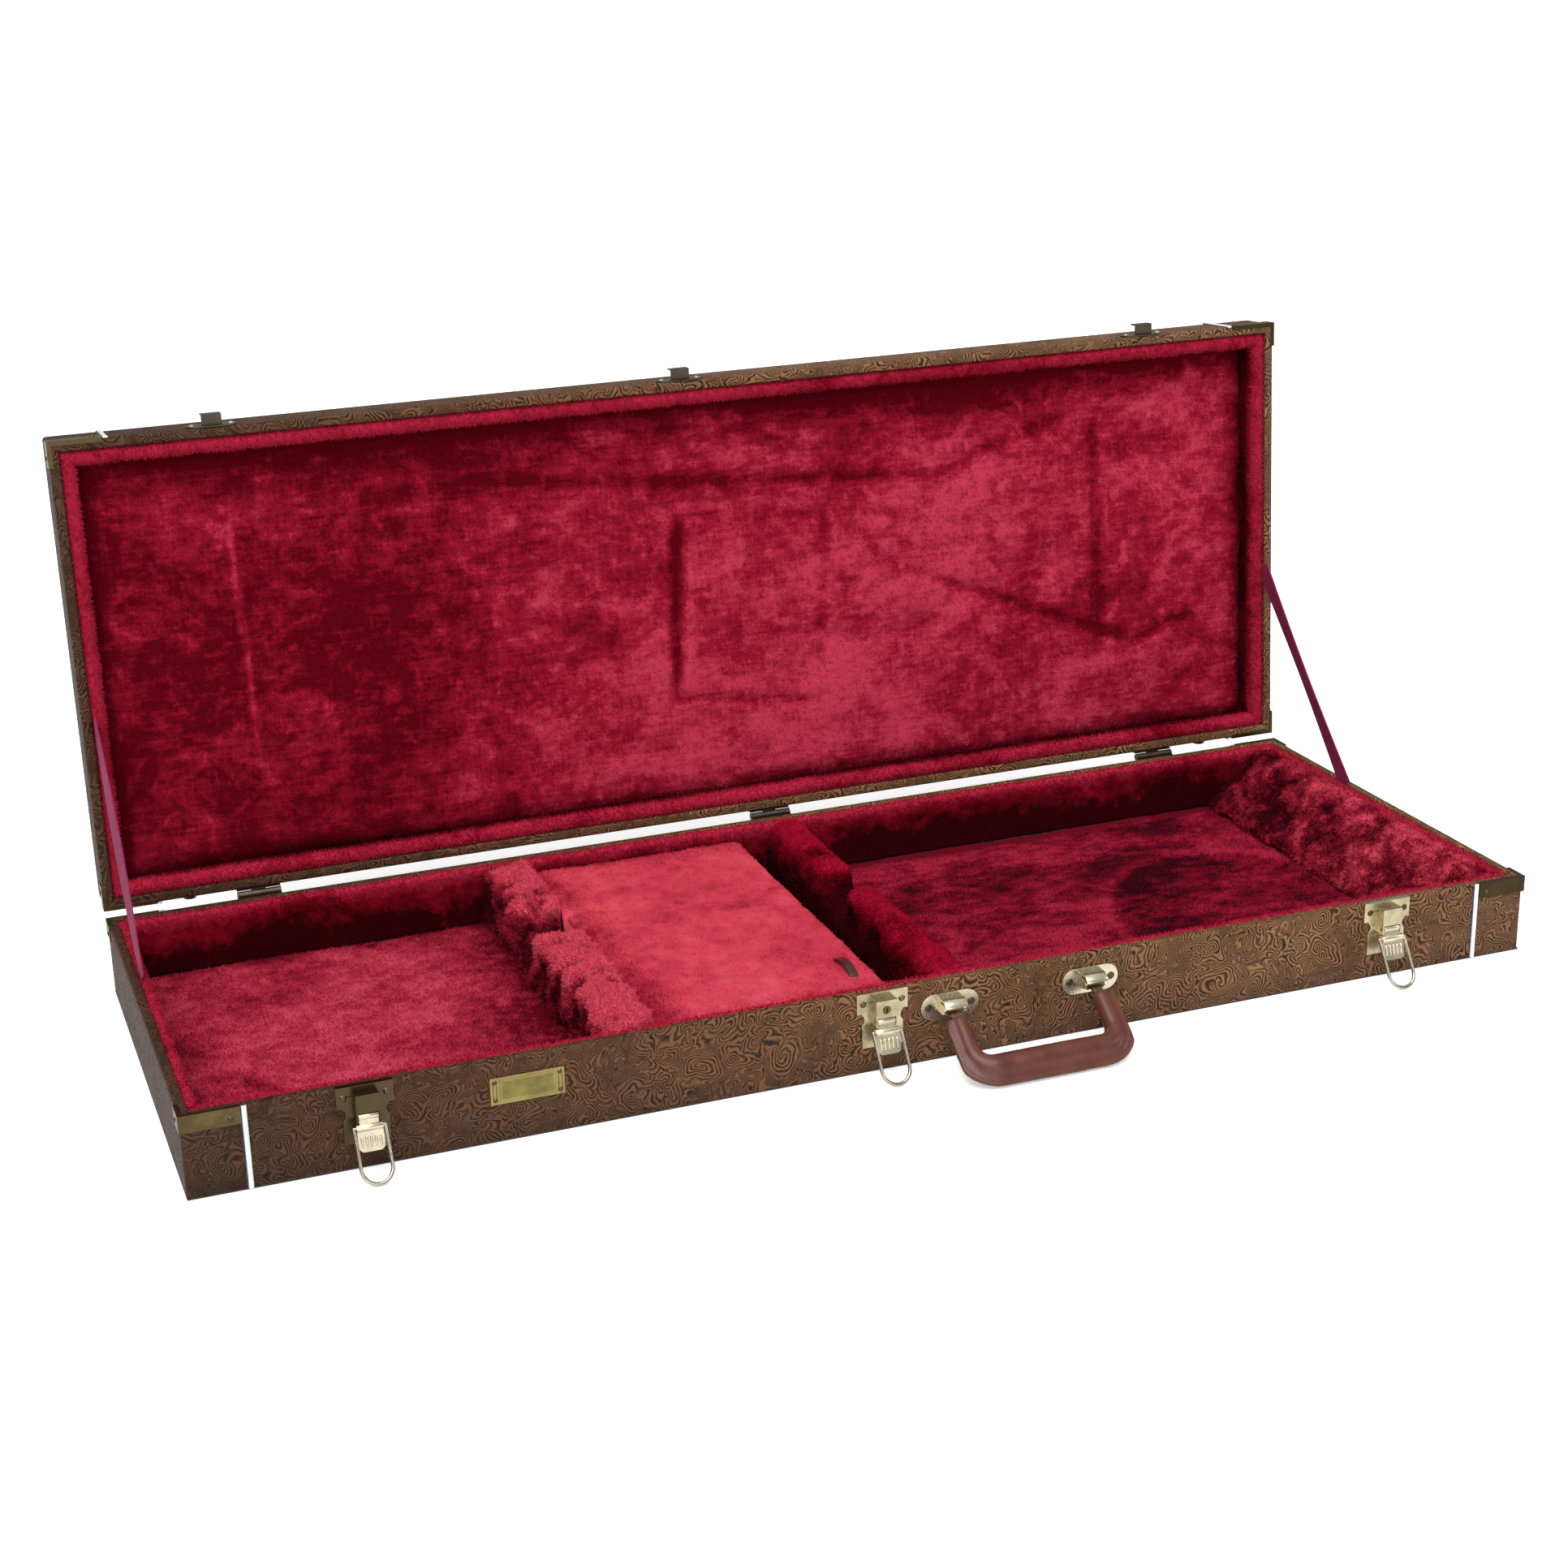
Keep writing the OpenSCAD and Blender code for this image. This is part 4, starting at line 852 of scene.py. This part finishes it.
def flap_hinge():
    """The cloth hinge: a plush strip from the left cradle's side over the gap to the flap."""
    lo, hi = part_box("compartment_flap")
    x0, x1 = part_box("left_neck_cradle")[1].x - 1 * MM, lo.x + 9 * MM
    y1, z, thick, steps = ROOM_Y - 3 * MM, hi.z - 0.6 * MM, 1.2 * MM, 70
    line = [(x0, z + 5 * MM), (x0 + 1.5 * MM, z + 2 * MM), (x0 + 3.5 * MM, z + 0.4 * MM),
        (x1 - 4 * MM, z + 0.7 * MM), (x1, z + 0.5 * MM)]
    verts = []
    for k in range(steps + 1):
        y = -y1 + 2 * y1 * k / steps
        wave = 0.8 * MM * math.sin(k * 0.9) + 0.5 * MM * math.sin(k * 2.3)
        low = fall(abs(y - NOTCH_Y["left"]), 31 * MM, 6 * MM)
        top = [(x, h + wave - low * drop * MM) for (x, h), drop in zip(line, (24, 14, 4, 0, 0))]
        verts += [(x, y, h) for x, h in top] + [(x, y, h - thick) for x, h in reversed(top)]
    faces = tube_faces(2 * len(line), steps + 1, flip=True)
    strip = new_object("flap_hinge_plush", verts, faces, M["plush_flap"])
    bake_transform(strip)


def body_floor_plush():
    """The raised floor pad, with a round hollow pressed in near its right end."""
    lo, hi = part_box("body_floor_pad")
    hollow = lambda x, y: np.hypot((x - 0.365) / 0.115, (y + 0.09) / 0.145)
    inside = lambda ring: 1 / (1 + np.exp((ring - 1) * 30))
    swell = lambda x, y: 0.8 * MM * np.sin(x * 37 + 2 * np.sin(y * 19)) * np.sin(y * 33)
    contour = lambda x, y: swell(x, y) - 2.2 * MM * inside(hollow(x, y))
    low = (lo.x, lo.y + 0.5 * MM, lo.z - 1 * MM)
    obj = slab("body_floor_plush", low, hi, 5 * MM, 6 * MM, M["plush_body"], contour)
    roughen(obj, [(40, 0.5 * MM), (140, 0.3 * MM)], 18)
    co = get_co(obj.data)
    ring, from_back = hollow(co[:, 0], co[:, 1]), np.abs(co[:, 1] - hi.y)
    # Painted highlights on the hollow's rim and along the back edge; darker inside the hollow.
    lit = 0.3 * np.exp(-(((ring - 1.07) / 0.05) ** 2)) + 0.45 * fall(from_back, 0.006, 0.006)
    paint(obj, "nap_and_shade", 0.06 - 0.36 * inside(ring) + lit)
    paint(obj, "fuzz", 0.5 + 0.5 * (from_back < 0.008))
    finish_piece(obj, "base", "plush", "body_floor_pad", fill=0.8)
    pile("body_floor_pile", obj, "base", 0.35, 2.6, 0.5, 0.9, 20)


def end_pad_plush():
    """The lumpy pad against the right end wall."""
    obj = copy_node("end_pad_plush", "end_pad", M["plush_cradle"])
    lo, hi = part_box("end_pad")
    remeshed(obj, 5 * MM, 5)
    pinned = lambda co: ((co[:, 2] < FLOOR_Z + 2 * MM) | (np.abs(co[:, 1]) > ROOM_Y - 4 * MM)
        | (co[:, 0] > hi.x - 4 * MM))
    stuffed(obj, pinned, 4.0, 4 * MM, 46, 17 * MM, 3.6 * MM, 0.05, 31)
    roughen(obj, [(50, 1.4 * MM), (150, 0.8 * MM)], 32)
    height = (get_co(obj.data)[:, 2] - lo.z) / (hi.z - lo.z)
    # Painted light on the top and painted shade in the sewn dimples.
    paint(obj, "nap_and_shade", 0.05 + 0.3 * rise(height, 0.8, 0.2) - 0.3 * painted(obj, "sunk"))
    paint(obj, "fuzz", np.full(len(height), 0.8))
    finish_piece(obj, "base", "plush", "end_pad", fill=0.6)
    pile("end_pad_pile", obj, "base", 0.6, 3.2, 0.6, 0.9, 33)


def divider_plush():
    """The plush board under the flap's free edge."""
    obj = slab("divider_plush", *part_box("compartment_divider"), 3 * MM, 3 * MM, M["plush_deep"])
    roughen(obj, [(60, 0.4 * MM)], 40)
    finish_piece(obj, "base", "plush", "compartment_divider", fill=1.0)


# Creases pressed into the lid's pad, with painted shade in the creases and painted light on the ridges: from
# x, y to x, y, half width, depth in mm and tone.
LID_CREASES = [
    (-0.026, -0.072, -0.034, 0.086, 0.0055, 2.6, -0.75), (-0.014, -0.07, -0.022, 0.08, 0.004, -1.2, 0.25),
    (-0.02, -0.075, 0.108, -0.06, 0.004, 0.8, -0.22), (-0.034, 0.086, 0.1, 0.104, 0.004, 1.4, -0.35),
    (0.108, -0.06, 0.1, 0.104, 0.005, 0.8, -0.2), (-0.405, -0.112, -0.398, 0.09, 0.0028, -0.8, 0.5),
    (-0.19, -0.118, 0.211, -0.084, 0.006, 1.2, -0.5), (-0.3, -0.118, -0.15, -0.12, 0.006, 1.0, -0.35),
    (0.211, -0.084, 0.34, -0.122, 0.006, 1.0, -0.35), (0.184, -0.004, 0.41, 0.09, 0.006, 2.0, -0.5),
    (0.41, 0.09, 0.47, 0.07, 0.005, 1.6, -0.55), (0.37, -0.12, 0.375, 0.08, 0.006, 1.2, -0.45),
    (0.39, -0.09, 0.45, -0.1, 0.014, 0.8, -0.4),
]
# Four short strokes side by side, by their middles.
LID_CREASES += [(x - 0.012, y - 0.003, x + 0.014, y + 0.004, 0.003, 1.0, -0.4)
    for x, y in ((0.13, 0.0), (0.135, 0.012), (0.128, 0.022), (0.132, 0.034))]
# Brushed patches of pile, and painted shade in thin bands along the pad's long edges: middle, half sizes,
# tone and how crisp the edge is.
LID_PATCHES = [
    (-0.4, 0.0, 0.19, 0.2, -0.6, 1.6), (-0.25, 0.06, 0.1, 0.12, -0.14, 3), (0.03, 0.01, 0.07, 0.09, 0.08, 3),
    (0.28, -0.04, 0.16, 0.08, 0.22, 3), (0.2, 0.12, 0.25, 0.05, 0.16, 3), (0.46, -0.06, 0.05, 0.1, 0.2, 3),
    (-0.2, -0.16, 0.36, 0.035, -0.55, 3), (0.28, -0.165, 0.22, 0.03, -0.5, 3),
    (-0.25, 0.16, 0.28, 0.012, -0.2, 3),
]


def lid_marks(x, y):
    """Height and shade of the marks in the lid's pad, at points of the closed lid."""
    height, shade = np.zeros_like(x), np.full_like(x, 0.16)
    for x0, y0, x1, y1, width, depth, tone in LID_CREASES:
        dx, dy = x1 - x0, y1 - y0
        t = np.clip(((x - x0) * dx + (y - y0) * dy) / (dx * dx + dy * dy), 0, 1)
        away = np.hypot(x - (x0 + t * dx), y - (y0 + t * dy))
        fade = np.exp(-((away / width) ** 2)) * np.clip(np.minimum(t, 1 - t) * 8 + 0.35, 0, 1)
        height -= depth * MM * fade
        shade += 1.3 * tone * fade
    for cx, cy, rx, ry, tone, crisp in LID_PATCHES:
        shade += tone / (1 + np.exp((np.hypot((x - cx) / rx, (y - cy) / ry) - 1) * 2 * crisp))
    return height, shade


def lid_pad_plush():
    """The lid's padded panel, drawn face up and then turned over into the open lid."""
    hx, hy = ROOM_X - 0.5 * MM, ROOM_Y - 0.5 * MM
    obj = slab("lid_pad_plush", (-hx, -hy, 0), (hx, hy, 11 * MM), 8.5 * MM, 10 * MM, M["plush_lid"])
    pinned = lambda co: co[:, 2] < 3 * MM
    stuffed(obj, pinned, 1.6, 1.5 * MM, 46, 26 * MM, 1.6 * MM, 0.012, 51)
    roughen(obj, [(16, 0.8 * MM), (60, 0.5 * MM), (170, 0.25 * MM)], 52)
    co = get_co(obj.data)
    # The panel's face-up drawing is mirrored in y so that, turned over, it lies as the closed lid's inside.
    height, shade = lid_marks(co[:, 0], -co[:, 1])
    co[:, 2] += height * rise(co[:, 2], 6 * MM, 4 * MM)
    set_co(obj.data, co)
    border = np.minimum(hx - np.abs(co[:, 0]), hy - np.abs(co[:, 1]))
    # Painted shade along the pad's border where it meets the walls, strongest on two sides.
    edges = ((hx + co[:, 0], 0.75), (hy - co[:, 1], 0.85), (hx - co[:, 0], 0.5), (hy + co[:, 1], 0.25))
    dark = np.max([weight * fall(away, 0.026, 0.026) for away, weight in edges], axis=0)
    paint(obj, "nap_and_shade", shade * 0.8 - dark)
    paint(obj, "fuzz", np.clip(0.55 + 0.45 * (border < 0.012), 0, 1) * (co[:, 2] > 4 * MM))
    flip = Matrix.Translation((0, 0, LID_PANEL_Z)) @ Matrix.Rotation(math.pi, 4, "X")
    obj.data.transform(LID_TURN @ flip)
    finish_piece(obj, "lid", "plush", "lid_panel_pad", fill=0.6)
    pile("lid_pad_pile", obj, "lid", 0.2, 2.6, 0.5, 0.9, 53)


def lid_wall_plush():
    """Plush on the lid's walls, rolled over into a thick bead under the rim."""
    low, roll = LID_Z0 + 1 * MM, 5.5 * MM
    profile = [(-6 * MM, LID_PANEL_Z)]
    profile += [(-o * MM, low + z * MM) for o, z in ((6, 32), (6, 27), (6.5, 22), (8, 17), (10, 12))]
    profile += arc_profile((-roll, low + roll), roll, 180, 360, 10) + [(0, low + 10 * MM), (0, LID_PANEL_Z)]
    obj = rim_ring("lid_wall_plush", IN_X - PLAY, IN_Y - PLAY, 1 * MM, profile, M["plush"], 6 * MM, 2)
    roughen(obj, [(35, 0.7 * MM), (120, 0.45 * MM)], 61)
    co = get_co(obj.data)
    height = 1 - (co[:, 2] - low) / (LID_PANEL_Z - low)
    ledge = (co[:, 1] > ROOM_Y - 12 * MM) & (height < 0.75)
    # Painted light on the rolled bead by the rim and painted shade deeper in towards the panel; on the back
    # wall's ledge a darker band with a painted highlight line across it.
    shade = 0.4 * rise(height, 0.72, 0.2) - 0.45 * fall(height, 0.8, 0.4)
    paint(obj, "nap_and_shade", shade - 0.25 * ledge + 0.7 * ledge * np.exp(-(((height - 0.16) / 0.09) ** 2)))
    paint(obj, "fuzz", np.clip((height - 0.6) / 0.3, 0.15, 1))
    obj.data.transform(LID_TURN)
    finish_piece(obj, "lid", "plush", "lid_side_lining", fill=1.0)
    pile("lid_wall_pile", obj, "lid", 0.6, 3.0, 0.55, 0.9, 62)


def stay_ribbons():
    """Woven ribbons held taut between the base's rim and the lid's rim."""
    half, t, steps, across = 8.5 * MM, 0.55 * MM, 60, (-1, -0.5, 0, 0.5, 1)
    section = [(w, -1) for w in across] + [(w, 1) for w in across[::-1]]
    for side, degrees in (("left", 13), ("right", -12)):
        lo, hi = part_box(side + "_stay_strap")
        x = (lo.x + hi.x) / 2
        start, end = Vector((x, lo.y + 5 * MM, lo.z)), Vector((x, hi.y - 2 * MM, hi.z))
        run, along, verts = end - start, (end - start).normalized(), []
        for k in range(steps + 1):
            twist = Matrix.Rotation(math.radians(degrees) * math.sin(math.pi * k / steps), 3, along)
            wide, thick = twist @ Vector((0, -along.z, along.y)), twist @ Vector((1, 0, 0))
            verts += [start + run * (k / steps) + wide * half * w + thick * h * t for w, h in section]
        faces = tube_faces(len(section), steps + 1)
        obj = new_object(side + "_stay_ribbon", verts, faces, M["ribbon"], smooth=False)
        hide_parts(side + "_stay_strap")
        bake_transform(obj)


# ---------------------------------------------------------------- handle and hardware
HANDLE_REACH, HANDLE_BEND, FLANGE = 55, 16.5, 16
BEND_STEPS = 12


def handle_stations(leg_x):
    """Along the grip in mm: centre (x, z), outward direction, tube radius and flange reach."""
    reach, bend, half = HANDLE_REACH, HANDLE_BEND, []
    for k in range(7):
        t = k / 6
        half.append(((-leg_x, -9 - (reach - bend - 9) * t), (-1, 0), 6.2 + 0.8 * t, 9 + 3 * min(1, 3 * t)))
    for k in range(1, BEND_STEPS + 1):
        t, a = k / BEND_STEPS, math.radians(180 + 90 * k / BEND_STEPS)
        out = (math.cos(a), math.sin(a))
        flange = min(bend + FLANGE, (bend + 12) / max(abs(out[0]), 0.01)) - bend
        centre = (bend - leg_x + bend * out[0], bend - reach + bend * out[1])
        half.append((centre, out, 7.2 + 2.6 * t * t * (3 - 2 * t), flange))
    for k in range(1, 11):
        r = 9.8 + 0.3 * math.sin(math.pi * k / 20)
        half.append((((bend - leg_x) * (1 - k / 10), -reach), (0, -1), r, FLANGE))
    return half + [((-c[0], c[1]), (-n[0], n[1]), r, f) for c, n, r, f in reversed(half[:-1])]


def handle_leather():
    """One soft leather skin: a padded tube with a flat flange stitched along its outer edge."""
    pivot = pivot_of("handle_swing")
    lo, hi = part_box("handle_core")
    stations = handle_stations((hi.x - lo.x) / 2 / MM - 6.5)
    # The handle hangs down until the flange's edge rests on the floor.
    lean = math.acos((pivot.z - 2.6 * MM) / ((HANDLE_REACH + FLANGE) * MM))
    place = Matrix.Translation(((lo.x + hi.x) / 2, pivot.y, pivot.z)) @ Matrix.Rotation(-lean, 4, "X")
    verts = []
    for centre, out, r, flange in stations:
        tube = arc_profile((0, 0), r, 34, 326, 22)
        edge = [(r + 2.4, 2.3), (flange - 1.2, 2.05), (flange - 0.4, 1.5), (flange, 0.5)]
        profile = tube + [(r + 1, -3.2)] + [(d, -y) for d, y in edge] + edge[::-1] + [(r + 1, 3.2)]
        verts += [((centre[0] + out[0] * d) * MM, y * MM, (centre[1] + out[1] * d) * MM) for d, y in profile]
    obj = new_object("handle_leather_grip", verts, tube_faces(len(profile), len(stations)), M["leather"])
    shape = bmesh.new()
    shape.from_mesh(obj.data)
    bmesh.ops.recalc_face_normals(shape, faces=shape.faces)
    shape.to_mesh(obj.data)
    shape.free()
    subdivided(obj)
    obj.data.transform(place)
    roughen(obj, [(70, 0.25 * MM), (260, 0.08 * MM)], 71)
    finish_piece(obj, "handle", "handle_leather", "handle_grip")
    inset, stitch = 2.6, (1.2 * MM, 0.32 * MM, 0.4 * MM)
    for side, y in (("front", -2.2), ("back", 2.2)):
        seam = [((c[0] + o[0] * (f - inset)) * MM, y * MM, (c[1] + o[1] * (f - inset)) * MM)
            for c, o, r, f in stations[1:-1]]
        bead_row("handle_stitches_" + side, seam, 64, stitch, M["thread"], "handle", "handle_leather", place)


def lever_details():
    """Raised flutes pressed into each lever's tab."""
    lean, reach, flutes, flute = math.radians(-18), 6.6 * MM, 5, (1.1 * MM, 1.0 * MM, 4.6 * MM)
    points = [(reach * (2 * k / (flutes - 1) - 1), -1.1 * MM, -17.4 * MM) for k in range(flutes)]
    for side in ("left", "middle", "right"):
        lo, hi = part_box("latch_lever_" + side)
        place = Matrix.Translation(((lo.x + hi.x) / 2, -BACK_Y - 7 * MM, BASE_H - 21 * MM))
        turn = place @ Matrix.Rotation(lean, 4, "X")
        bead_row(side + "_lever_flutes", points, flutes, flute, M["brass"], "lever_" + side, "brass", turn)


def pull_tab():
    obj = copy_node("flap_leather_tab", "flap_pull_tab", M["dark_leather"])
    modifier(obj, "BEVEL", width=0.4 * MM, segments=2)
    apply_modifiers(obj)
    finish_piece(obj, "flap", "handle_leather", "flap_pull_tab")


def name_plate_field():
    """The name plate's darker sunk field, left blank."""
    lo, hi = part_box("name_plate")
    x, z, half_w, half_h = (lo.x + hi.x) / 2, (lo.z + hi.z) / 2, 19 * MM, 6.8 * MM
    verts = [(x + sx * half_w * share, lo.y - out, z + sz * half_h * share)
        for share, out in ((1, -0.1 * MM), (0.985, 0.2 * MM)) for sx, sz in SQUARE]
    obj = new_object("name_plate_field", verts, tube_faces(4, 2), M["field_brass"], smooth=False)
    finish_piece(obj, "base", "name_brass")


def rim_tacks():
    """Small dark tacks along the front of the rim, each a dome of four rings."""
    verts, faces, z = [], [], BASE_H - 5.5 * MM
    for x in (-0.285, 0.14, 0.4645, 0.506):
        faces += tube_faces(10, 4, len(verts))
        for r, out in ((1.5, 0.0), (1.4, 0.35), (0.8, 0.75), (0.05, 0.85)):
            ring = arc_profile((x, z), r * MM, 0, 360, 10)[:-1]
            verts += [(tack_x, -BACK_Y - out * MM, tack_z) for tack_x, tack_z in ring]
    obj = new_object("front_rim_tacks", verts, faces, M["dark_metal"])
    finish_piece(obj, "base", "antique_brass")


def edge_softened(node):
    """Rounds a CAD metal part's sharp edges with modifiers only."""
    modifier(NODES[node], "WELD", merge_threshold=WELD)
    modifier(NODES[node], "BEVEL", width=0.28 * MM, segments=2, limit_method="ANGLE",
        angle_limit=math.radians(40), harden_normals=False)


LEVERS = ["latch_lever_left", "latch_lever_middle", "latch_lever_right"]
LOOKS = {
    "wood": ["base_front_wall", "base_back_wall", "base_left_wall", "base_right_wall", "base_bottom_panel",
        "lid_front_wall", "lid_back_wall", "lid_left_wall", "lid_right_wall", "lid_top_panel"],
    "edge": ["base_bottom_sheet"],
    "piping": ["base_piping", "lid_piping"],
    "plate": ["latch_plates", "latch_housings"],
    "brass": ["handle_end_plates", "lid_rivets", *LEVERS],
    "wire": ["latch_bail_left", "latch_bail_middle", "latch_bail_right"],
    "antique": ["base_rivets", "handle_core", "base_corner_brackets", "lid_corner_brackets", "lever_pins",
        "lock_core"],
    "dark_metal": ["base_bracket_nails", "lid_bracket_nails", "name_plate_pins", "handle_plate_screws",
        "catch_hooks", "catch_plates", "hinge_base_leaves", "hinge_lid_leaves", "hinge_pins",
        "base_spine_feet", "lid_spine_feet"],
    "name_brass": ["name_plate"],
}
SOFTENED = ["latch_plates", "latch_housings", "handle_end_plates", "base_corner_brackets",
    "lid_corner_brackets", "name_plate", "catch_plates", "catch_hooks", *LEVERS]


def dress_cad():
    for look, nodes in LOOKS.items():
        for node in nodes:
            NODES[node].data.materials.clear()
            NODES[node].data.materials.append(M[look])
    for node in SOFTENED:
        edge_softened(node)


# ---------------------------------------------------------------- stage
def studio():
    """A pale floor, a grey sky that lights the case, and pure white wherever the camera sees past it."""
    corners = [(30 * sx, 30 * sy, 0) for sx, sy in SQUARE]
    floor = new_object("studio_floor", corners, [(0, 1, 2, 3)], M["floor"], smooth=False)
    floor.location.z = -0.5 * MM
    world = bpy.data.worlds.new("studio")
    bpy.context.scene.world = world
    world.use_nodes = True
    node, link = world.node_tree.nodes.new, world.node_tree.links.new
    sky, out = (world.node_tree.nodes[name] for name in ("Background", "World Output"))
    place, split, ramp = (node("ShaderNode" + kind) for kind in ("TexCoord", "SeparateXYZ", "ValToRGB"))
    link(place.outputs["Generated"], split.inputs[0])
    link(split.outputs[2], ramp.inputs["Fac"])
    for position, grey in ((0.0, 0.22), (0.12, 0.62), (0.4, 0.3), (1.0, 0.5)):
        element = ramp.color_ramp.elements.new(position)
        element.color = (grey, grey, grey * 1.02, 1)
    ramp.color_ramp.elements.remove(ramp.color_ramp.elements[-1])
    link(ramp.outputs["Color"], sky.inputs["Color"])
    sky.inputs["Strength"].default_value = 0.8
    white, ray, mix = (node("ShaderNode" + kind) for kind in ("Background", "LightPath", "MixShader"))
    white.inputs["Color"].default_value = (1, 1, 1, 1)
    for k, socket in enumerate((ray.outputs["Is Camera Ray"], sky.outputs[0], white.outputs[0])):
        link(socket, mix.inputs[k])
    link(mix.outputs[0], out.inputs["Surface"])
    aim = Vector((0, 0, 0.1))
    for name, kind, place, width, power in (
        ("overhead_sun", "SUN", (-0.8, -1.3, 3.0), 0.85, 2.5),
        ("front_sun", "SUN", (-0.5, -3.0, 1.1), 0.7, 0.7),
        ("side_light", "AREA", (2.6, -1.2, 1.3), 1.0, 10),
    ):
        light = bpy.data.lights.new(name, kind)
        setattr(light, "angle" if kind == "SUN" else "size", width)
        light.energy = power
        lamp = link_object(name, light)
        lamp.location = place
        lamp.rotation_euler = (aim - Vector(place)).to_track_quat("-Z", "Y").to_euler()


def camera():
    data = bpy.data.cameras.new("camera")
    data.lens, data.sensor_width, data.clip_end = 59.26, 36, 60
    data.shift_x, data.shift_y = 0.0442, -0.0027
    cam = link_object("camera", data)
    cam.location = (-0.7044, -1.8003, 0.8549)
    cam.rotation_euler = [math.radians(a) for a in (70.40, 1.74, -19.70)]
    bpy.context.scene.camera = cam


dress_cad()
base_vinyl_skin()
lid_vinyl_skin()
piping_edge_shadows()
base_wall_plush()
base_floor_plush()
neck_cradle("left", "plush_cradle", 76, 0.06, 21, 0.16, 0.1)
neck_cradle("right", "plush_deep", 7, 0.01, 25, 0.05, 0.3)
accessory_flap()
flap_hinge()
body_floor_plush()
end_pad_plush()
divider_plush()
lid_pad_plush()
lid_wall_plush()
stay_ribbons()
handle_leather()
lever_details()
pull_tab()
name_plate_field()
rim_tacks()
studio()
camera()

view = bpy.context.scene.view_settings
view.view_transform = "Standard"
view.look = "None"
